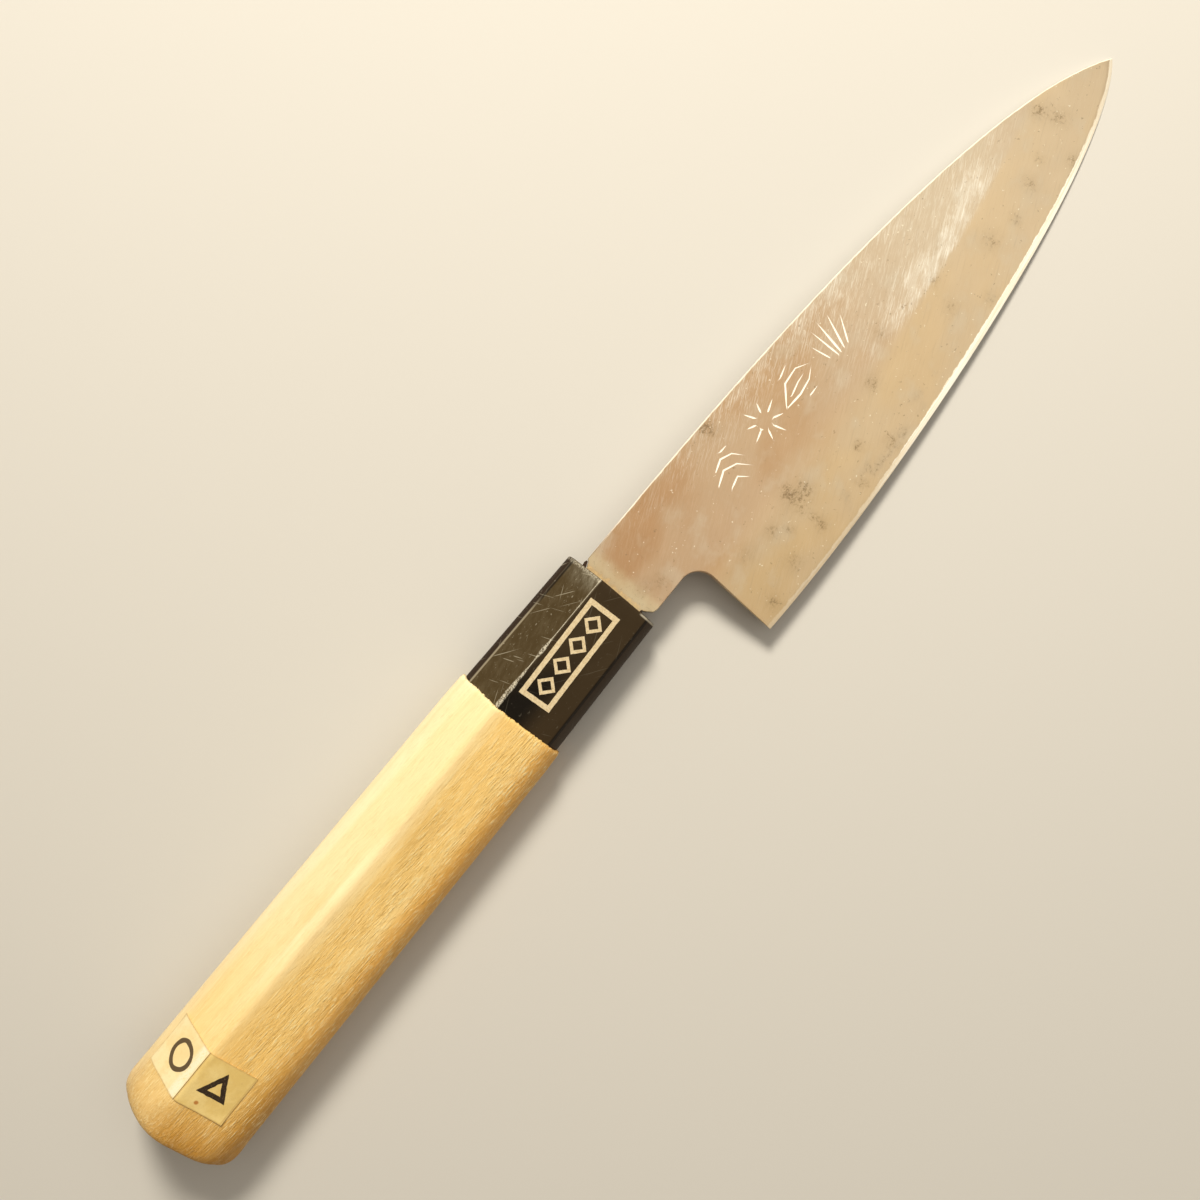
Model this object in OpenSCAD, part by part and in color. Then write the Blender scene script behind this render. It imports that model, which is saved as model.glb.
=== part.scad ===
// Small single-bevel kitchen knife with a ridged wooden handle.
// Units are millimetres. Every piece is drawn in knife axes: the origin is the middle of the
// ferrule's front face, +X runs along the handle axis to the blade tip, +Y points to the spine
// and +Z to the ground face of the blade. rest_pose() then lays the knife on a table, on the
// front lower edge of the ferrule and on the blade tip, with the origin under its middle.

/* [Blade] */
// Distance of the tip in front of the ferrule
tip_x = 132.6; // [128:0.2:138]
// Distance of the heel line in front of the ferrule
heel_x = 13.3; // [11.5:0.1:16]
// Backward lean of the heel corner
heel_lean = 0.7; // [0:0.1:1.5]
// Height of the spine above the handle axis
spine_y = 6.8; // [6.5:0.1:7.2]
// Depth of the neck below the handle axis
neck_y = 8.4; // [7.8:0.1:9]
// Radius between the neck and the heel line
neck_r = 3.8; // [2.5:0.1:5]
// Thickness of the neck
neck_t = 2.8; // [2.4:0.1:2.9]
// Thickness of the flat at mid-blade
mid_t = 2.1; // [1.8:0.1:2.4]
// Thickness of the flat where it runs out near the tip
fore_t = 1.5; // [1.2:0.1:1.7]
// Width of the main bevel, square to the axis
bevel_w = 13.3; // [11:0.1:15]
// Width of the small second bevel at the edge
micro_w = 1.1; // [0.8:0.1:1.5]
// Thickness where the second bevel starts
micro_t = 0.38; // [0.3:0.02:0.5]

/* [Tang] */
// Length of the tang inside the handle
tang_len = 88; // [70:1:95]
// Height of the tang at the ferrule
tang_h = 12.4; // [11:0.1:12.6]
// Height of the tang at its end
tang_end_h = 6; // [4:0.5:8]
// Thickness of the tang at its end
tang_end_t = 1.8; // [1.4:0.1:2.2]

/* [Handle] */
// Length of the whole handle
handle_len = 121; // [112:0.2:126]
// Width of the wood at the butt
butt_w = 24.1; // [23:0.1:25]
// Width of the wood a little behind the ferrule
wood_w = 22.7; // [21.8:0.1:22.8]
// Narrowing of the wood at the joint with the ferrule
wood_ease = 0.3; // [0.2:0.1:0.8]
// Rounding of the butt edge, square to the axis
butt_round = 2; // [0.6:0.1:2.6]
// Rounding of the butt edge, along the axis
butt_round_len = 4; // [1:0.2:6]

/* [Ferrule] */
// Length of the ferrule
ferrule_len = 28.2; // [25:0.1:31]
// Width of the ferrule at its front
ferrule_w = 19.5; // [19:0.1:19.8]
// Width of the ferrule at its back
ferrule_back_w = 20.7; // [20.2:0.1:21]
// Wall around the tenon
ferrule_wall = 2.1; // [1.6:0.1:2.4]
// Thickness of the front wall
front_wall = 3.2; // [2.4:0.1:4]
// Length of the slot for the tang
slot_h = 13.6; // [13.2:0.1:13.8]
// Width of the slot for the tang
slot_t = 3.4; // [3.2:0.1:3.8]

/* [Foil stamping] */
// Length of the foil frame
foil_len = 20.3; // [18:0.1:22]
// Width of the foil frame
foil_w = 6.8; // [6:0.1:7.2]
// Width of the frame band
foil_band = 0.95; // [0.6:0.05:1.1]
// Gap between the ferrule front and the frame
foil_start = 3.4; // [2:0.1:5]
// Distance of the frame from the ridge
foil_from_ridge = 0.9; // [0.6:0.1:1.2]
// Turn of the frame against the axis, in degrees
foil_skew = 2.2; // [0:0.1:2.5]
// Thickness of the foil
foil_t = 0.12; // [0.1:0.01:0.2]

/* [Paper tags] */
// Side of each square tag
tag_side = 9.8; // [8:0.1:10.4]
// Width of the tag on the narrow facet
tag_narrow = 8.7; // [7:0.1:8.8]
// Distance of the tags from the butt
tag_from_butt = 8.3; // [4:0.1:12]
// Thickness of the paper
tag_t = 0.2; // [0.15:0.01:0.3]
// Radius of the ink ring
ink_r = 2.8; // [2:0.1:3.2]
// Width of an ink line
ink_w = 0.9; // [0.5:0.05:1.1]
// Thickness of the ink
ink_t = 0.1; // [0.08:0.01:0.15]

/* [Hidden] */
gap = 0.05;               // working clearance between fitted pieces
touch = 0.01;             // clearance below a piece that lies on another
ridge_k = 0.126;          // ridge offset to the spine side, per width
top_k = 0.402;            // ridge height over the axis, per width
low_k = 0.33;             // belly depth under the axis, per width
belly_n = 2.3;            // squareness of the belly
spine_side_k = 0.105;     // height at which the spine-side facet would meet the side
edge_side_k = 0.145;      // the same for the edge-side facet
spine_roll_k = 0.072;     // width of the rounded shoulder on the spine side
edge_roll_k = 0.1;        // width of the rounded shoulder on the edge side
arc_n = 5;                // steps in a rounded shoulder
belly_steps = 18;         // steps around the belly
inner_depth_k = 0.355;    // mean half depth of the section, per width, for the hollow
inner_lift_k = 0.02;      // lift of the hollow towards the ridge, per width
butt_steps = 5;           // steps in the rounded butt edge

back_z = -neck_t / 2;     // plane of the flat back of the blade
land = 0.06;              // height left at the very edge
ease_len = 6;             // length over which the wood narrows at the joint
tenon_gap = 0.3;          // air between the tenon and the front wall
root_x = -2;              // where the tang reaches its full height
shoulder_x = 0.4;         // where the tang ends and the neck begins
tang_relief = 0.12;       // step of the tang above the flat back
hole_extra = 3;           // depth of the tang hole behind the tang
hole_end_extra = 1;       // height of the hole's end over the tang's end
bedding_x = -0.7;         // front of the bedding, inside the slot
overrun = 1;              // length by which a cut runs past its piece
stock_t = 5;              // thickness from which the blade is ground
stock_y = 12;             // reach of the ground face, above the spine
edge_over = 0.8;          // reach of the grinding past the edge

// the spine and the edge are cubic curves that meet at the tip
curve_steps = 20;
tip = [tip_x, -9.2];
heel = [heel_x - heel_lean, -26.3];
spine_start = [1.6, spine_y];
spine_pull = [[0.445 * tip_x, spine_y], [0.855 * tip_x, spine_y - 3.3]];
edge_pull = [[0.35 * tip_x, heel[1] - 1.35], [0.9 * tip_x, tip[1] - 11.8]];
function cubic(a, b, c, d, t) = pow(1 - t, 3) * a + 3 * t * pow(1 - t, 2) * b
    + 3 * t * t * (1 - t) * c + pow(t, 3) * d;
function along(a, b, c, d) =
    [for (i = [0:curve_steps - 1]) cubic(a, b, c, d, i / curve_steps)];
spine_pts = along(spine_start, spine_pull[0], spine_pull[1], tip);
edge_pts = along(heel, edge_pull[0], edge_pull[1], tip);
low_y = min([for (p = edge_pts) p[1]]);

// thickness of the flat above the back, along the blade
flat_t = [[-tang_len, tang_end_t], [root_x, neck_t], [0.075 * tip_x, neck_t],
    [0.45 * tip_x, mid_t], [0.86 * tip_x, fore_t], [1.02 * tip_x, 0.9 * fore_t]];

// resting pose: front lower edge of the ferrule and blade tip on the table
chamfer = 0.4;
toe = [-chamfer, -low_k * ferrule_w];
nose = [tip_x, back_z];
tilt = atan((nose[1] - toe[1]) / (nose[0] - toe[0]));
rest_z = -toe[0] * sin(tilt) + toe[1] * cos(tilt);
front_x = tip_x * cos(tilt) + (back_z + micro_t) * sin(tilt);
rear_x = -handle_len * cos(tilt) - low_k * (butt_w - 2 * butt_round) * sin(tilt);
mid_x = (front_x + rear_x) / 2;
mid_y = (butt_w / 2 + low_y) / 2;

module rest_pose() translate([-mid_x, -mid_y, -rest_z]) rotate([0, tilt, 0]) children();

// ---- ridged handle section, as points [y, z] for a width w, counter-clockwise from the ridge
function bez(a, b, c, t) = (1 - t) * (1 - t) * a + 2 * t * (1 - t) * b + t * t * c;
function facet_at(side, s) = // point a share s down a facet, for unit width
    let (r = [ridge_k, top_k],
         c = side > 0 ? [0.5, spine_side_k] : [-0.5, edge_side_k])
    r + s * (c - r);
function facet_end(side) = // share of the way at which the flat part stops
    side > 0 ? (0.5 - spine_roll_k - ridge_k) / (0.5 - ridge_k)
             : (0.5 - edge_roll_k + ridge_k) / (0.5 + ridge_k);
function shoulder(side) = // rounded shoulder from the facet down to the widest point
    let (a = facet_at(side, facet_end(side)), b = facet_at(side, 1), c = [b[0], 0])
    [for (i = [0:arc_n]) bez(a, b, c, i / arc_n)];
function belly() =
    [for (i = [1:belly_steps - 1])
        let (a = 180 * i / belly_steps, c = cos(a), s = sin(a))
        [-0.5 * sign(c) * pow(abs(c), 2 / belly_n), -low_k * pow(s, 2 / belly_n)]];
function unit_section() =
    concat([[ridge_k, top_k]], shoulder(-1), belly(),
        [for (i = [arc_n:-1:0]) shoulder(1)[i]]);
function ring(x, w) = [for (p = unit_section()) [x, p[0] * w, p[1] * w]];
function inner_ring(x, w, wall) = // the same section drawn in by a wall all round
    let (k = 1 - wall / (w * inner_depth_k), lift = inner_lift_k * w)
    [for (p = unit_section()) [x, p[0] * (w - 2 * wall), p[1] * w * k + lift * (1 - k)]];
function box_ring(x, y0, y1, z0, z1) = [[x, y1, z1], [x, y0, z1], [x, y0, z0], [x, y1, z0]];

// solid through rings of equal length, from low X to high X
module loft(rings) {
    n = len(rings[0]);
    m = len(rings);
    polyhedron(
        points = [for (r = rings) each r],
        faces = concat(
            [[for (i = [0:n - 1]) i]],
            [[for (i = [n - 1:-1:0]) (m - 1) * n + i]],
            [for (j = [0:m - 2]) for (i = [0:n - 1])
                let (a = j * n + i, b = j * n + (i + 1) % n)
                [a, a + n, b + n, b]]),
        convexity = 6);
}

// ---- width of the handle along its length
function wood_width(x) =
    wood_w + (butt_w - wood_w) * (-x - ferrule_len) / (handle_len - ferrule_len);
function ferrule_width(x) = ferrule_w + (ferrule_back_w - ferrule_w) * -x / ferrule_len;

// ---- frame lying on a facet: origin down from the ridge at x, first axis along the facet
function facet_point(side, x, w, down) =
    let (r = [ridge_k, top_k], c = facet_at(side, 1), d = (c - r) / norm(c - r),
         p = r * w + d * down)
    [x, p[0], p[1]];
function unit(v) = v / norm(v);
module on_facet(side, x, w0, w1, span, down) {
    // w0 and w1 are the widths at x and at x + span
    o = facet_point(side, x, w0, down);
    a = unit(facet_point(side, x + span, w1, down) - o);
    d = unit(facet_point(side, x, w0, down + 1) - o);
    n = unit(cross(a, d));
    out = n[2] > 0 ? n : -n;
    b = cross(out, a);
    multmatrix([[a[0], b[0], out[0], o[0]], [a[1], b[1], out[1], o[1]],
        [a[2], b[2], out[2], o[2]], [0, 0, 0, 1]]) children();
}

// ---- blade
function arc_pts(c, r, a0, a1, n) =
    [for (i = [0:n]) let (a = a0 + (a1 - a0) * i / n) [c[0] + r * cos(a), c[1] + r * sin(a)]];
fillet_back = 0.15; // keeps the fillet tangent to the leaning heel line
fillet_steps = 8;
neck_start = 2.4;   // where the lower side of the neck becomes straight
module blade_outline() {
    lean = atan(heel_lean / (-heel[1] - neck_y));
    fillet = [heel_x - fillet_back - neck_r, -neck_y - neck_r];
    polygon(concat(
        [[-tang_len, -tang_end_h / 2], [-tang_len, tang_end_h / 2], [root_x, tang_h / 2],
            [shoulder_x, tang_h / 2], spine_start - [0.5, 0.15]],
        spine_pts, [tip],
        [for (i = [len(edge_pts) - 1:-1:0]) edge_pts[i]],
        arc_pts(fillet, neck_r, -lean, 90, fillet_steps),
        [[neck_start, -neck_y], [2 * shoulder_x, -neck_y + 1.3],
            [shoulder_x, -tang_h / 2], [root_x, -tang_h / 2]]));
}

// envelope of the grinding: flat, main bevel and second bevel, all above the flat back
stations = concat(
    [[-tang_len - overrun, heel[1]], [root_x, heel[1]], [heel_x - 2 * overrun, heel[1]]],
    edge_pts, [tip, tip + [3, 3]]);
function edge_ring(x, y) =
    let (t = lookup(x, flat_t), slope = (micro_t - land) / micro_w, low = back_z - overrun)
    [[x, stock_y, back_z + t], [x, min(y + bevel_w, stock_y - touch), back_z + t],
        [x, y + micro_w, back_z + micro_t],
        [x, y - edge_over, back_z + land - edge_over * slope],
        [x, y - edge_over, low], [x, stock_y, low]];
module grinding() loft([for (s = stations) edge_ring(s[0], s[1])]);

module blade() {
    color("#b9b2a4") rest_pose() difference() {
        intersection() {
            translate([0, 0, back_z]) linear_extrude(stock_t) blade_outline();
            grinding();
        }
        translate([-tang_len - overrun, -tang_h, back_z - overrun])
            cube([tang_len + overrun + shoulder_x, 2 * tang_h, overrun + tang_relief]);
    }
}

// ---- ferrule
module ferrule() {
    color("#26231f") rest_pose() difference() {
        loft([ring(-ferrule_len, ferrule_back_w), ring(-chamfer, ferrule_w),
            ring(0, ferrule_w - 2 * chamfer)]);
        loft([inner_ring(-ferrule_len - overrun, ferrule_back_w, ferrule_wall),
            inner_ring(-front_wall, ferrule_w, ferrule_wall)]);
        translate([-front_wall - overrun, -slot_h / 2, -slot_t / 2])
            cube([front_wall + 2 * overrun, slot_h, slot_t]);
    }
}

// ---- wooden handle with its tenon and the burnt-in tang hole
hole_len = tang_len + hole_extra;
function hole_ring(x, g) =
    let (s = -x / hole_len, h = slot_h * (1 - s) + (tang_end_h + hole_end_extra) * s)
    box_ring(x, -h / 2 + g, h / 2 - g, -slot_t / 2 + g, slot_t / 2 - g);
function butt_ring(a) = // ring at an angle a around the rounded butt edge
    let (x = -handle_len + butt_round_len * (1 - cos(a)))
    ring(x, wood_width(x) - 2 * butt_round * (1 - sin(a)));
module grip() {
    color("#dcc088") rest_pose() difference() {
        union() {
            loft(concat([for (i = [0:butt_steps]) butt_ring(90 * i / butt_steps)],
                [ring(-ferrule_len - ease_len, wood_width(-ferrule_len - ease_len)),
                    ring(-ferrule_len, wood_w - wood_ease)]));
            loft([inner_ring(-ferrule_len - overrun, ferrule_back_w, ferrule_wall + gap),
                inner_ring(-front_wall - tenon_gap, ferrule_w, ferrule_wall + gap)]);
        }
        loft([hole_ring(-hole_len, 0), hole_ring(-front_wall + overrun, 0)]);
    }
}

// ---- resin that beds the tang in its hole
module tang_bedding() {
    end = tang_end_h / 2 + gap;
    root = tang_h / 2 + gap;
    color("#3a2a1c") rest_pose() difference() {
        loft([hole_ring(-hole_len + gap, gap), hole_ring(bedding_x, gap)]);
        translate([0, 0, back_z - gap]) linear_extrude(neck_t + 2 * gap)
            polygon([[-tang_len - gap, -end], [-tang_len - gap, end], [root_x, root],
                [overrun, root], [overrun, -root], [root_x, -root]]);
    }
}

// ---- hot-stamped foil on the wide facet of the ferrule
module foil_place() {
    x0 = -foil_start - foil_len / 2;
    x1 = x0 + foil_len / 4;
    rest_pose() on_facet(-1, x0, ferrule_width(x0), ferrule_width(x1), x1 - x0,
        foil_from_ridge + foil_w / 2)
        rotate([0, 0, foil_skew]) translate([0, 0, touch]) children();
}
module foil_frame() {
    color("#d8c191") foil_place() linear_extrude(foil_t) difference() {
        square([foil_len, foil_w], center = true);
        square([foil_len - 2 * foil_band, foil_w - 2 * foil_band], center = true);
    }
}
motif_n = 4;
motif_inset = 0.4;  // clear space between the band and the end marks
motif_gap = 0.5;    // space between two marks
motif_line = 0.83;  // width of a mark's line, measured along the frame
motif_pitch = (foil_len - 2 * foil_band - 2 * motif_inset) / motif_n;
motif_l = motif_pitch - motif_gap;
motif_w = foil_w - 2 * foil_band - 2 * motif_inset;
module lozenge(l, w) polygon([[-l / 2, 0], [0, w / 2], [l / 2, 0], [0, -w / 2]]);
module foil_motif(i) {
    color("#d8c191") foil_place() translate([((motif_n - 1) / 2 - i) * motif_pitch, 0, 0])
        linear_extrude(foil_t) difference() {
            lozenge(motif_l, motif_w);
            lozenge(motif_l - 2 * motif_line, motif_w - 2 * motif_line);
        }
}
module foil_motif_1() foil_motif(0);
module foil_motif_2() foil_motif(1);
module foil_motif_3() foil_motif(2);
module foil_motif_4() foil_motif(3);

// ---- two paper tags by the butt, one on each side of the ridge, with an ink mark each
tag_from_ridge = 0.1;
ring_shift = 0.4;               // the ring sits a little towards the blade
triangle_r = ink_r + 0.5;       // reach of the triangle's corners
ink_steps = 48;
module tag_place(side, width) {
    x0 = -handle_len + tag_from_butt + tag_side / 2;
    x1 = x0 + tag_side / 2;
    rest_pose() on_facet(side, x0, wood_width(x0), wood_width(x1), x1 - x0,
        tag_from_ridge + width / 2)
        translate([0, 0, touch]) children();
}
module tag_narrow_side() {
    color("#f0e2b0") tag_place(1, tag_narrow) linear_extrude(tag_t)
        square([tag_side, tag_narrow], center = true);
}
module tag_wide_side() {
    color("#e6d59c") tag_place(-1, tag_side) linear_extrude(tag_t)
        square([tag_side, tag_side], center = true);
}
module ink_ring() {
    color("#3a2c20") tag_place(1, tag_narrow) translate([ring_shift, 0, tag_t + touch])
        linear_extrude(ink_t) difference() {
            circle(r = ink_r, $fn = ink_steps);
            circle(r = ink_r - ink_w, $fn = ink_steps);
        }
}
module ink_triangle() {
    color("#3a2c20") tag_place(-1, tag_side) translate([0, 0, tag_t + touch])
        linear_extrude(ink_t) difference() {
            circle(r = triangle_r, $fn = 3);
            circle(r = triangle_r - 2 * ink_w, $fn = 3);
        }
}

blade();
ferrule();
grip();
tang_bedding();
foil_frame();
foil_motif_1();
foil_motif_2();
foil_motif_3();
foil_motif_4();
tag_narrow_side();
tag_wide_side();
ink_ring();
ink_triangle();
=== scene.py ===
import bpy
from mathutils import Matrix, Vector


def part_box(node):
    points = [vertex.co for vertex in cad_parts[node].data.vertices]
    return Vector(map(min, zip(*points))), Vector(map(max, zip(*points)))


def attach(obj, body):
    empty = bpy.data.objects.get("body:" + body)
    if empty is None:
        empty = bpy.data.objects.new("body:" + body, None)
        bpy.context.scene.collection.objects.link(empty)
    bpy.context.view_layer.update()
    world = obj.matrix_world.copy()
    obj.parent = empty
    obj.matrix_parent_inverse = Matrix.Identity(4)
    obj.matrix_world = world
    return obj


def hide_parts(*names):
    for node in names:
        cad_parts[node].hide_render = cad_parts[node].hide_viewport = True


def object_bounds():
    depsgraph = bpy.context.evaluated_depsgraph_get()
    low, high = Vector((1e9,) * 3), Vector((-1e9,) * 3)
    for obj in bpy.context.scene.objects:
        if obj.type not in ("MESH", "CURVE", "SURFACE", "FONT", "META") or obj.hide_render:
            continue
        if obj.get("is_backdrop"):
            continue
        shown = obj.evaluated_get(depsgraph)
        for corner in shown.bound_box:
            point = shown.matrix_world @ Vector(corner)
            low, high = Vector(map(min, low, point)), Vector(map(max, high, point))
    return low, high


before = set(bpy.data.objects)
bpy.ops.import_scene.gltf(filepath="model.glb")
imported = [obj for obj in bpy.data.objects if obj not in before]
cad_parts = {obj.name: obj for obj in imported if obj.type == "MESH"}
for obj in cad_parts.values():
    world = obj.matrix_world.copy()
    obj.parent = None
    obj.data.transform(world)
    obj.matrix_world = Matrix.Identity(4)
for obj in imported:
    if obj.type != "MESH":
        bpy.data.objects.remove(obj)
CAD_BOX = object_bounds()

import copy
import math

import bmesh
import bpy
import numpy as np
from mathutils import Matrix, Vector
from mathutils.geometry import delaunay_2d_cdt

# Knife axes, in millimetres: the origin is the middle of the ferrule's front face, +X runs to
# the blade tip, +Y to the spine and +Z to the ground face. at_rest() gives metres in the row.

# ---------------- driving dimensions
TIP = np.array([132.6, -9.2])
HEEL = np.array([12.6, -26.3])
SPINE_Y, NECK_Y, NECK_R = 6.8, -8.4, 3.8
HEEL_X = 13.3
SPINE_START = np.array([1.6, SPINE_Y])
SPINE_PULL = (np.array([59.0, SPINE_Y]), np.array([113.4, 3.5]))
EDGE_PULL = (np.array([46.4, -27.65]), np.array([119.3, -21.0]))
BACK_Z = -1.4
FLAT_X = (-88, -2, 9.9, 59.7, 114, 135.3)
FLAT_T = (1.8, 2.8, 2.8, 2.1, 1.5, 1.35)
BEVEL_W, MICRO_W, MICRO_T, LAND = 13.3, 1.1, 0.38, 0.06
MICRO_SLOPES = (0.34, 0.242)       # of the lower and the upper half of the second bevel
TANG_LEN, TANG_H, TANG_END_H, TANG_RELIEF = 88, 12.4, 6, 0.12
ROOT_X, SHOULDER_X = -2, 0.4       # where the tang's root and the neck's shoulder begin
HOLE_LEN, HOLE_END_H = TANG_LEN + 3, TANG_END_H + 1
BED_GAP, BED_X = 0.05, -0.75       # the bedding's clearance in its hole, and its bead's start
HANDLE_LEN, BUTT_W, WOOD_W, WOOD_EASE, EASE_LEN = 121, 24.1, 22.7, 0.3, 6
BUTT_ROUND, BUTT_ROUND_LEN = 2, 4
FERRULE_LEN, FERRULE_W, FERRULE_BACK_W, CHAMFER = 28.2, 19.5, 20.7, 0.4
FERRULE_WALL, FRONT_WALL, SLOT_H, SLOT_T = 2.1, 3.2, 13.6, 3.4
TENON_X = -FRONT_WALL - 0.3
RESIN_SKIN, WOOD_SKIN = 0.03, 0.06  # how far the surfaces keep inside the nominal widths
RIDGE_K, TOP_K, LOW_K, BELLY_N = 0.126, 0.402, 0.33, 2.3
SPINE_SIDE_K, EDGE_SIDE_K = 0.105, 0.145
FOIL_LEN, FOIL_W, FOIL_BAND, FOIL_START, FOIL_SKEW = 20.3, 6.8, 0.95, 3.4, 2.2
FOIL_FROM_RIDGE = 0.9
TAG_SIDE, TAG_FROM_BUTT, INK_R, INK_W = 9.8, 8.3, 2.8, 0.9
EASED_FROM = -HANDLE_LEN + TAG_FROM_BUTT
TAG_SPANS = (0.775, 0.915)         # width of the narrow and wide tag from above, over TAG_SIDE
TAG_SEAM = (2.7, 3.3)              # the y over which the wide tag's look gives way to the narrow's
MM = 0.001
WELD, SPECK = 2e-4, 1e-5           # closer points are joined, and shorter edges dissolved, in mm

TILT = math.atan((BACK_Z + LOW_K * FERRULE_W) / (TIP[0] + CHAMFER))
COS, SIN = math.cos(TILT), math.sin(TILT)
REST_Z = CHAMFER * SIN - LOW_K * FERRULE_W * COS
BLADE_LOW, BLADE_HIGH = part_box("blade")
MID_X = TIP[0] * COS + (BACK_Z + LAND) * SIN - BLADE_HIGH[0] / MM


def at_rest(points):
    """Points in knife axes, in millimetres, as metres in the row frame."""
    p = np.atleast_2d(np.asarray(points, float))
    return MM * np.column_stack([
        p[:, 0] * COS + p[:, 2] * SIN - MID_X,
        p[:, 1] - MID_Y,
        -p[:, 0] * SIN + p[:, 2] * COS - REST_Z,
    ])


# ---------------- small maths
def unit(vectors):
    """Each row made one long."""
    return vectors / np.linalg.norm(vectors, axis=1)[:, None]


def to_left(vectors):
    """Each row turned a quarter turn to the left."""
    return np.column_stack([-vectors[:, 1], vectors[:, 0]])


def round_points(degrees):
    """Points of the unit circle."""
    a = np.radians(degrees)
    return np.column_stack([np.cos(a), np.sin(a)])


def lattice(xs, ys):
    return np.array([(x, y) for x in xs for y in ys])


def with_x(x, loop):
    """A loop in y and z, placed at x."""
    return np.column_stack([np.full(len(loop), x), loop])


def step(low, high, x):
    """Smooth rise from 0 at low to 1 at high."""
    t = np.clip((np.asarray(x, float) - low) / (high - low), 0, 1)
    return t * t * (3 - 2 * t)


def bell(x, y, mid, reach):
    """A soft spot of the given reach in x and y."""
    return np.exp(-((x - mid[0]) / reach[0]) ** 2 - ((y - mid[1]) / reach[1]) ** 2)


def cubic(a, b, c, d, n):
    t = np.linspace(0, 1, n)[:, None]
    return (1 - t) ** 3 * a + 3 * t * (1 - t) ** 2 * b + 3 * t * t * (1 - t) * c + t ** 3 * d


LOWEST = cubic(HEEL, *EDGE_PULL, TIP, 21)[:, 1].min()
MID_Y = LOWEST - BLADE_LOW[1] / MM


def line(a, b, n):
    return np.linspace(np.asarray(a, float), np.asarray(b, float), n + 1)[:-1]


def smooth_loop(values, passes):
    """Averages each value of a closed loop with its two neighbours, several times over."""
    for _ in range(passes):
        values = (np.roll(values, 1, axis=0) + values + np.roll(values, -1, axis=0)) / 3
    return values


class Ripple:
    """A smooth random field: a sum of sine waves of about the given wavelengths, in mm."""

    def __init__(self, seed, lengths, count=14):
        rng = np.random.default_rng(seed)
        direction = unit(rng.normal(size=(count, len(lengths))))
        self.k = direction * 2 * math.pi / np.asarray(lengths) * rng.uniform(0.6, 1.6, (count, 1))
        self.phase = rng.uniform(0, 2 * math.pi, count)

    def __call__(self, *coords):
        p = np.stack([np.asarray(c, float) for c in coords], axis=-1)
        return np.sin(p @ self.k.T + self.phase).mean(axis=-1) * math.sqrt(len(self.phase)) / 1.6


def inside(points, polygon):
    """Even-odd test of many points against one closed polygon."""
    x, y = points[:, 0], points[:, 1]
    hit = np.zeros(len(points), bool)
    for (x0, y0), (x1, y1) in zip(polygon, np.roll(polygon, -1, axis=0)):
        if y0 != y1:
            crosses = (y0 > y) != (y1 > y)
            hit ^= crosses & (x < (x1 - x0) * (y - y0) / (y1 - y0) + x0)
    return hit


def off_segment(points, a, b):
    """Distance of many points from a segment, and how far along it each one lies, 0 to 1."""
    ab = b - a
    t = np.clip(((points - a) @ ab) / max(ab @ ab, 1e-12), 0, 1)
    return np.linalg.norm(points - a - t[:, None] * ab, axis=1), t


def gap_to(points, polyline, closed=True):
    """Distance of many points from a polyline."""
    path = np.concatenate([polyline, polyline[:1]]) if closed else polyline
    best = np.full(len(points), 1e9)
    for a, b in zip(path[:-1], path[1:]):
        best = np.minimum(best, off_segment(points, a, b)[0])
    return best


def well_inside(points, loop, gap):
    """The points that lie inside a loop and more than gap away from it."""
    points = points[inside(points, loop)]
    return points[gap_to(points, loop) > gap]


# ---------------- mesh helpers
def add_object(name, data):
    obj = bpy.data.objects.new(name, data)
    bpy.context.scene.collection.objects.link(obj)
    return obj


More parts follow.
